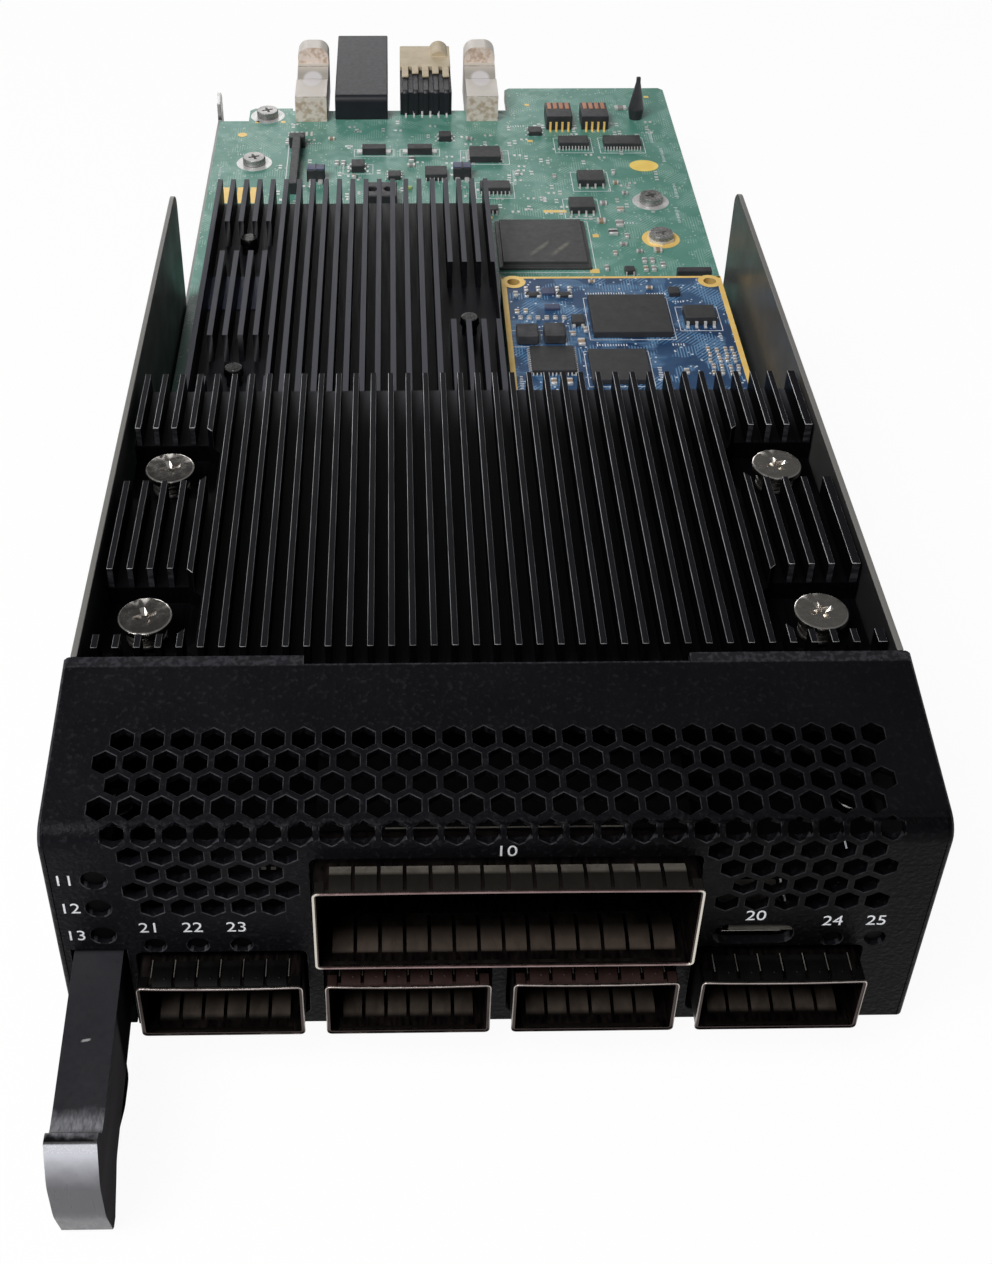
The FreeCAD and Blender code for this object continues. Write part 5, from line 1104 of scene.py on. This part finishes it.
def lead(shape, x, y, side, base, out=0.85, rise=0.75, width=0.38, across=False):
    line = [(0, rise), (0.32, rise), (0.5, 0.14), (out, 0.14), (out, 0), (0.42, 0),
            (0.22, rise - 0.16), (0, rise - 0.16)]
    if across:
        corners = [(x + side * run, y - width / 2, base + height) for run, height in line]
    else:
        corners = [(x - width / 2, y + side * run, base + height) for run, height in line]
    pulled(shape, corners, (0, width, 0) if across else (width, 0, 0))


def lead_rows(x, y, width, depth, count, base, pin=0.38, across=False, out=0.85, rise=0.75):
    span = (depth if across else width) - pin * 1.6
    for side in SIDES:
        for i in range(count):
            shift = -span / 2 + span * i / max(1, count - 1)
            if across:
                lead(tin, x + side * width / 2, y + shift, side, base, out, rise, pin, True)
            else:
                lead(tin, x + shift, y + side * depth / 2, side, base, out, rise, pin)


def small_part(body, x, y, width, depth, height, base, cap=0.28):
    slab(body, x, y, width - 0.06, depth - 0.06, base, base + height - 0.02,
         min(0.06, height / 5), 1)
    for side in SIDES:
        shift = side * (1 - cap) / 2
        end = ((x + shift * width, y, cap * width, depth) if width > depth
               else (x, y + shift * depth, width, cap * depth))
        slab(tin, *end, base, base + height, 0.05, 1)


def pad(shape, x, y, width, depth, base, height=0.05):
    slab(shape, x, y, width, depth, base - 0.02, base + height)


def outline(x, y, width, depth, base, line=0.13):
    for side in SIDES:
        pad(ink, x, y + side * depth / 2, width, line, base, 0.02)
        pad(ink, x + side * width / 2, y, line, depth, base, 0.02)


def ticks(x, y, count, step, base, seed, turned=False):
    dice = random.Random(seed)
    for i in range(count):
        long = dice.uniform(0.35, 0.8)
        if turned:
            pad(ink, x, y + i * step, long, 0.16, base, 0.02)
        else:
            pad(ink, x + i * step, y, 0.16, long, base, 0.02)

# %% [markdown]
# Chips with legs get gull wings, small ceramic parts get tinned ends, and the larger ones get the
# printed outline that a layout program would add.

# %% Leads on the green board's chips
for x, y, width, depth, count, pin, out in (
        (29.5, 187.2, 5.4, 4.6, 4, 0.38, 0.85), (26.6, 175.7, 5, 4.4, 4, 0.38, 0.85),
        (27.4, 203.7, 6.4, 3.6, 10, 0.22, 0.7), (37.8, 203.6, 7.9, 4, 13, 0.22, 0.7),
        (9.6, 183.5, 6.1, 3.4, 8, 0.24, 0.7), (-2.3, 189.7, 4.5, 4, 6, 0.22, 0.6),
        (8.7, 174.7, 2.1, 2.1, 3, 0.3, 0.6), (33.4, 150.7, 1.9, 1.9, 2, 0.3, 0.5)):
    lead_rows(x, y, width, depth, count, B, pin, False, out)
for x, y, width, depth, count, pin, out in (
        (8.2, 198.2, 6.5, 5, 8, 0.24, 0.75), (0, 206.8, 2.6, 2.6, 2, 0.4, 0.85),
        (19.6, 209.6, 2.8, 2.8, 2, 0.4, 0.7), (-18.5, 193, 2.7, 3.2, 2, 0.7, 0.85),
        (-10.9, 189.4, 2.6, 2.6, 3, 0.3, 0.6)):
    lead_rows(x, y, width, depth, count, B, pin, True, out)
for x in (-15.2, -5.5):
    for side in SIDES:
        slab(tin, x + side * 3, 200.5, 1.2, 1.6, B, B + 0.5, 0.1)
for x, y, width, depth in (
        (29.5, 187.2, 7.6, 8.4), (26.6, 175.7, 7, 8), (27.4, 203.7, 8, 7),
        (37.8, 203.6, 9.6, 7.2), (8.2, 198.2, 10.2, 6.4), (9.6, 183.5, 7.8, 6.8),
        (-15.2, 200.5, 8.4, 3.2), (-5.5, 200.5, 8.4, 3.2), (-18.5, 193, 6.2, 4.2),
        (17.6, 160.6, 19.2, 19.6)):
    outline(x, y, width, depth, B)
print("chip leads:", len(tin.faces), "faces")

# %% Power parts, navy coils and lamp on the green board
for x in (25, 32.8):
    for i in range(4):
        at = x - 1.95 + i * 1.3
        slab(copper, at, 216.4, 0.84, 3, B + 3.1, B + 3.28, 0.06, 1)
        lead(gold, at, 211.1, -1, B, 1.1, 1.9, 0.46)
for x, y in ((-27.1, 188.9), (3.1, 189.6)):
    slab(navy, x, y + 0.1, 3.6, 2.4, B + 2.45, B + 2.75, 0.12)
    for side in SIDES:
        slab(tin, x + side * 0.95, y - 2.15, 1, 1.5, B, B + 0.7, 0.2)
    slab(dark, x, y - 0.1, 0.28, 3, B + 2.5, B + 2.8, 0.03, 1)
blocks("status_lamp", "light_green", "clear_plastic",
       ((-8.3, -7.3, 183.9, 184.7, B, B + 0.6, 0.15),))

# %% Small parts and solder pads on the green board
GREEN_SMALL = {
    tan: ((30, 170.2, 1.8, 1.6), (34.3, 174.7, 1.4, 1.6), (39.8, 158.6, 1.6, 1.4),
          (36.6, 151.6, 0.9, 1.6), (-19.3, 189.4, 1, 1), (-24.4, 206.6, 1.4, 0.8),
          (34.6, 186.2, 1.2, 0.8), (31.4, 157.4, 0.8, 1.3)),
    dark: ((31.9, 165.6, 1.8, 1.8), (-7.3, 196.9, 1.2, 1.8)),
    grey: ((33.5, 169, 1.5, 2.2), (34.4, 164, 0.8, 1.5), (33.4, 160.9, 1.5, 0.8),
           (31.2, 177.4, 1.4, 1.2), (39.5, 221.4, 2.6, 1.5), (36.7, 154.6, 0.9, 1.6),
           (38.2, 154.6, 0.9, 1.6), (38.1, 151.6, 0.9, 1.6), (40, 152.9, 0.9, 1.6),
           (29.2, 151.9, 0.8, 1.7), (-7.4, 194.2, 1.6, 1), (-23, 195.2, 0.9, 1.7),
           (-21.6, 195.2, 0.9, 1.7), (14.6, 190.4, 0.8, 1.4), (-33.8, 204.8, 0.8, 1.4),
           (5.2, 206.4, 1.4, 0.8), (34.6, 190.8, 0.8, 1.4), (22.2, 189, 0.8, 1.3),
           (36, 181.6, 1.2, 0.8), (36.2, 158.2, 1.2, 0.8))}
for body, parts in GREEN_SMALL.items():
    for x, y, width, depth in parts:
        small_part(body, x, y, width, depth, 0.62, B)
dice = random.Random(11)
for spot in range(150):
    x, y = dice.uniform(-36, 45), dice.uniform(171, 215)
    turned = dice.random() < 0.5
    for side in (-0.55, 0.55):
        if turned:
            pad(tin, x, y + side, 0.75, 0.5, B, 0.06)
        else:
            pad(tin, x + side, y, 0.5, 0.75, B, 0.06)
print(sum(map(len, GREEN_SMALL.values())), "small parts on the green board")

# %% Pads, tails, print and sticker on the green board
for x, y, width, depth in (
        (-45.4, 181.9, 1.5, 6.6), (-42.2, 181.9, 1.5, 6.6), (-39.6, 181.9, 1.5, 6.6),
        (28.4, 164.7, 1.2, 1.2), (26.9, 151.3, 1.8, 1.5), (21.2, 174.6, 4.6, 1),
        (18.8, 223.6, 1, 1), (46, 227.6, 1.1, 0.9), (18.3, 205.8, 1.2, 0.9),
        (-40.9, 215.4, 0.9, 0.9), (-35.2, 215.4, 0.9, 0.9), (8.1, 172.2, 0.9, 0.9)):
    pad(gold, x, y, width, depth, B)
rod(gold, (-43.7, 209.2, B - 0.02), (-43.7, 209.2, B + 0.05), 1, 24)
for i in range(5):
    pad(tin, -33 + i * 1.05, 209.6, 0.5, 2, B)
for i in range(6):
    lead(tin, -8.3 + i * 1.8, 218.9, -1, B, 1.7, 0.9, 0.42)
for x, y in ((29.5, 192.2), (25, 208.4), (36, 208.4), (-44, 200), (-30, 205),
             (14, 213), (33, 169.8)):
    ticks(x, y, 7, 0.55, B, int(abs(x) * 7 + y))
for x, y in ((44.6, 205), (46, 196), (46.6, 180), (45.6, 170), (13.9, 186),
             (-47.2, 188)):
    ticks(x, y, 11, 0.6, B, int(abs(x) * 3 + y), True)
block(ink, -33.5, -33.3, 182, 205, B - 0.01, B + 0.02)
sticker = bmesh.new()
bmesh.ops.create_cone(sticker, cap_ends=True, segments=48, radius1=1, radius2=1, depth=1,
                      matrix=moved(41.45, 194.1, B + 0.05) @ Matrix.Diagonal((3.05, 2.5, 0.06, 1)))
piece("oval_sticker", sticker, "sticker_yellow", "label_navy")
print("pads and print:", len(ink.faces), "faces")

# %% Gilt edge and holes of the module board
LEFT, RIGHT, FRONT, REAR = 7.9, 47.3, 88, 135.6
for x, y, width, depth in (
        (LEFT + 0.45, (FRONT + REAR) / 2, 0.9, REAR - FRONT - 0.2),
        (RIGHT - 0.45, (FRONT + REAR) / 2, 0.9, REAR - FRONT - 0.2),
        ((LEFT + RIGHT) / 2, REAR - 0.3, RIGHT - LEFT - 0.2, 0.6)):
    pad(gold, x, y, width, depth, M, 0.03)
for x in (10.1, 45.1):
    outer, inner = (bmesh.ops.create_circle(gold, segments=36, radius=radius, matrix=moved(
        x, 133.8, M + height))["verts"] for radius, height in ((2.1, 0.06), (1.12, 0.07)))
    bmesh.ops.bridge_loops(gold, edges=edges_in(outer + inner))
    wall = bmesh.ops.extrude_edge_only(gold, edges=edges_in(inner, inside=True))
    bmesh.ops.translate(gold, vec=(0, 0, -1.6), verts=verts_in(wall))

# %% Parts and print on the module board
lead_rows(41.3, 121.4, 5.3, 4.2, 4, M, 0.5, False, 1, 0.85)
lead_rows(15.1, 108.3, 7.3, 7.4, 12, M, 0.2, False, 0.45, 0.4)
lead_rows(15.1, 108.3, 7.3, 7.4, 12, M, 0.2, True, 0.45, 0.4)
for x in (13.2, 18.7):
    for row in (128.5, 129.5, 130.5, 131.5):
        for side in SIDES:
            slab(tin, x + side * 1.075, row, 0.75, 0.44, M, M + 0.5, 0.08, 1)
slab(navy, 16, 130.2, 2.2, 2, M, M + 0.5, 0.08)
slab(navy, 16.3, 125, 2.6, 1.6, M, M + 0.5, 0.08)
MODULE_SMALL = [
    (grey, 10.2, 129.4, 0.8, 1.6), (tan, 10.1, 123.6, 0.8, 1.2), (tan, 11.6, 123.8, 0.8, 1.2),
    (grey, 21.4, 117.8, 0.7, 1.5), (tan, 19.2, 116.6, 0.9, 1.1), (tan, 20.4, 114, 1.2, 1.9),
    (tan, 14.8, 102.3, 1, 1.6), (tan, 17.4, 102.3, 1, 1.6), (grey, 36.9, 105, 0.9, 1.4),
    (grey, 30.2, 127.6, 1.2, 0.7), (tan, 24, 133.6, 1.2, 0.7), (tan, 34, 131.4, 1.2, 0.7)]
MODULE_SMALL += [(grey, 10.6 + i * 1.5, 121.6, 0.8, 0.9) for i in range(6)]
dice = random.Random(5)
for column in range(4):
    for row in range(5):
        body = dice.choice((tan, grey, tan))
        MODULE_SMALL.append((body, 41.4 + column * 1.35 + dice.uniform(-0.2, 0.2),
                             104.6 + row * 1.7 + dice.uniform(-0.25, 0.25), 0.62, 1.1))
for body, x, y, width, depth in MODULE_SMALL:
    small_part(body, x, y, width, depth, 0.45, M)
for side in SIDES:
    slab(tin, 20.3 + side * 0.75, 118.9, 0.56, 0.8, M, M + 0.6, 0.12)
for x, y, width, depth in ((29.3, 121.6, 14.6, 13.4), (25.9, 106.2, 10.8, 10.4),
                           (41.3, 121.4, 7.2, 7.6), (13.1, 115.4, 9.6, 5)):
    outline(x, y, width, depth, M, 0.11)
for x, y, count in ((23, 113.3, 12), (22.6, 129.8, 16), (33.4, 129.6, 8), (35.8, 113.4, 5),
                    (37.6, 127, 5)):
    ticks(x, y, count, 0.45, M, int(x * y))
for x, y, count in ((22, 104, 9), (32.6, 103, 8), (44.2, 114.6, 5), (9.6, 100.6, 8)):
    ticks(x, y, count, 0.5, M, int(x * y), True)
print(len(MODULE_SMALL), "small parts on the module board")

# %% The collected small forms, with a tapered sleeve on the right rear post
rod(dark, (42.3, 216.9, B), (42.3, 216.9, B + 2.4), 1.35, 20, 1.75)
rod(dark, (42.3, 216.9, B + 2.3), (42.3, 216.9, B + 9.5), 1.72, 20, 0.3)
piece("tinned_leads", tin, "solder_tin", "nickel")
piece("gold_pads", gold, "gold_plate", "nickel")
piece("copper_bars", copper, "copper_lead", "nickel")
piece("tan_parts", tan, "ceramic_tan", "beige_plastic")
piece("grey_parts", grey, "ceramic_grey", "choke_grey")
piece("small_black_parts", dark, "black_plastic", "chip_black")
piece("navy_parts", navy, "navy_part", "label_navy")
piece("board_print", ink, "print_white", "green_board")

# %% [markdown]
# ## Rear connectors
# A power block, ribbed signal wafers under a pale comb, and two die-cast guides keep the solids'
# forms. Their edges are eased by different amounts, because a moulded edge is crisper than a
# cast one.

# %% Rear connectors
eased("power_connector", "power_plastic", 0.25, 3, "black_plastic")
eased("signal_wafers", "wafer_black", 0.12, slot="black_plastic")
eased("signal_housing", "beige_plastic", 0.2)
eased("guide_left", "die_cast", 0.3, 3)
eased("guide_right", "die_cast", 0.3, 3)

# %% [markdown]
# ## Floor and light
# A pale floor carries a soft shadow. A large soft lamp above and in front of the card lights the
# faceplate and the fins, a weaker one behind draws a line on the far edges, and an even dim
# world fills the rest. Rays from the camera see floor and world nearly white, so the card stands
# on a clean ground, and mirrored rays see the world white only near the horizon.

# %% Floor
floor_z = CAD_BOX[0][2]
floor_shape = bmesh.new()
bmesh.ops.create_grid(floor_shape, x_segments=1, y_segments=1, size=6,
                      matrix=moved(0, 0.1, floor_z - 0.0004))
floor_mesh = bpy.data.meshes.new("floor")
floor_shape.to_mesh(floor_mesh)
floor_shape.free()
floor = placed("floor", floor_mesh)
paper = Finish("floor_paper", (0.93, 0.93, 0.93), specular=0)
paper.shader.inputs["Roughness"].default_value = 0.9
paper.tint((0.95, 0.95, 0.95), paper.grain(60, 2))
rays = paper.node("LightPath", {}).outputs
seen = paper.sum("MAXIMUM", rays["Is Camera Ray"], paper.sum(
    "MAXIMUM", rays["Is Glossy Ray"], rays["Is Transmission Ray"]))
glow = paper.node("Emission", {"Color": (1, 1, 1, 1), "Strength": 1.0}).outputs[0]
blend = paper.node("MixShader", {0: paper.times(seen, 0.95), 1: paper.shader.outputs[0], 2: glow})
paper.feed(paper.tree.nodes["Material Output"].inputs["Surface"], blend.outputs[0])
floor_mesh.materials.append(paper.material)
print("floor at", round(floor_z, 4))

# %% Lamps and world
for name, spot, aim, power in (("lamp_front", (-0.35, -0.30, 0.75), (0, 0.12, 0.02), 7.8),
                               ("lamp_behind", (-0.12, 1.15, 0.32), (0, 0.15, 0.02), 1.6)):
    light = bpy.data.lights.new(name, "AREA")
    light.size = 0.5
    light.energy = power
    lamp = placed(name, light)
    lamp.location = spot
    lamp.rotation_euler = (Vector(aim) - Vector(spot)).to_track_quat("-Z", "Y").to_euler()

scene.world = bpy.data.worlds.new("world")
scene.world.use_nodes = True
sky = Net(scene.world.node_tree)
ground = sky.tree.nodes["Background"].inputs
ground["Color"].default_value = (1, 1, 1, 1)
rays = sky.node("LightPath", {}).outputs
towards = sky.part(sky.node("TexCoord", {}).outputs["Generated"], "Z")
mirrored = sky.times(sky.sum("MAXIMUM", rays["Is Glossy Ray"], rays["Is Transmission Ray"]),
                     sky.sum("LESS_THAN", towards, 0.25))
white = sky.sum("MAXIMUM", rays["Is Camera Ray"], mirrored)
sky.feed(ground["Strength"], sky.sum("MULTIPLY_ADD", white, 0.9, 0.1))
scene.view_settings.view_transform = "Standard"
print("lamps and world ready")
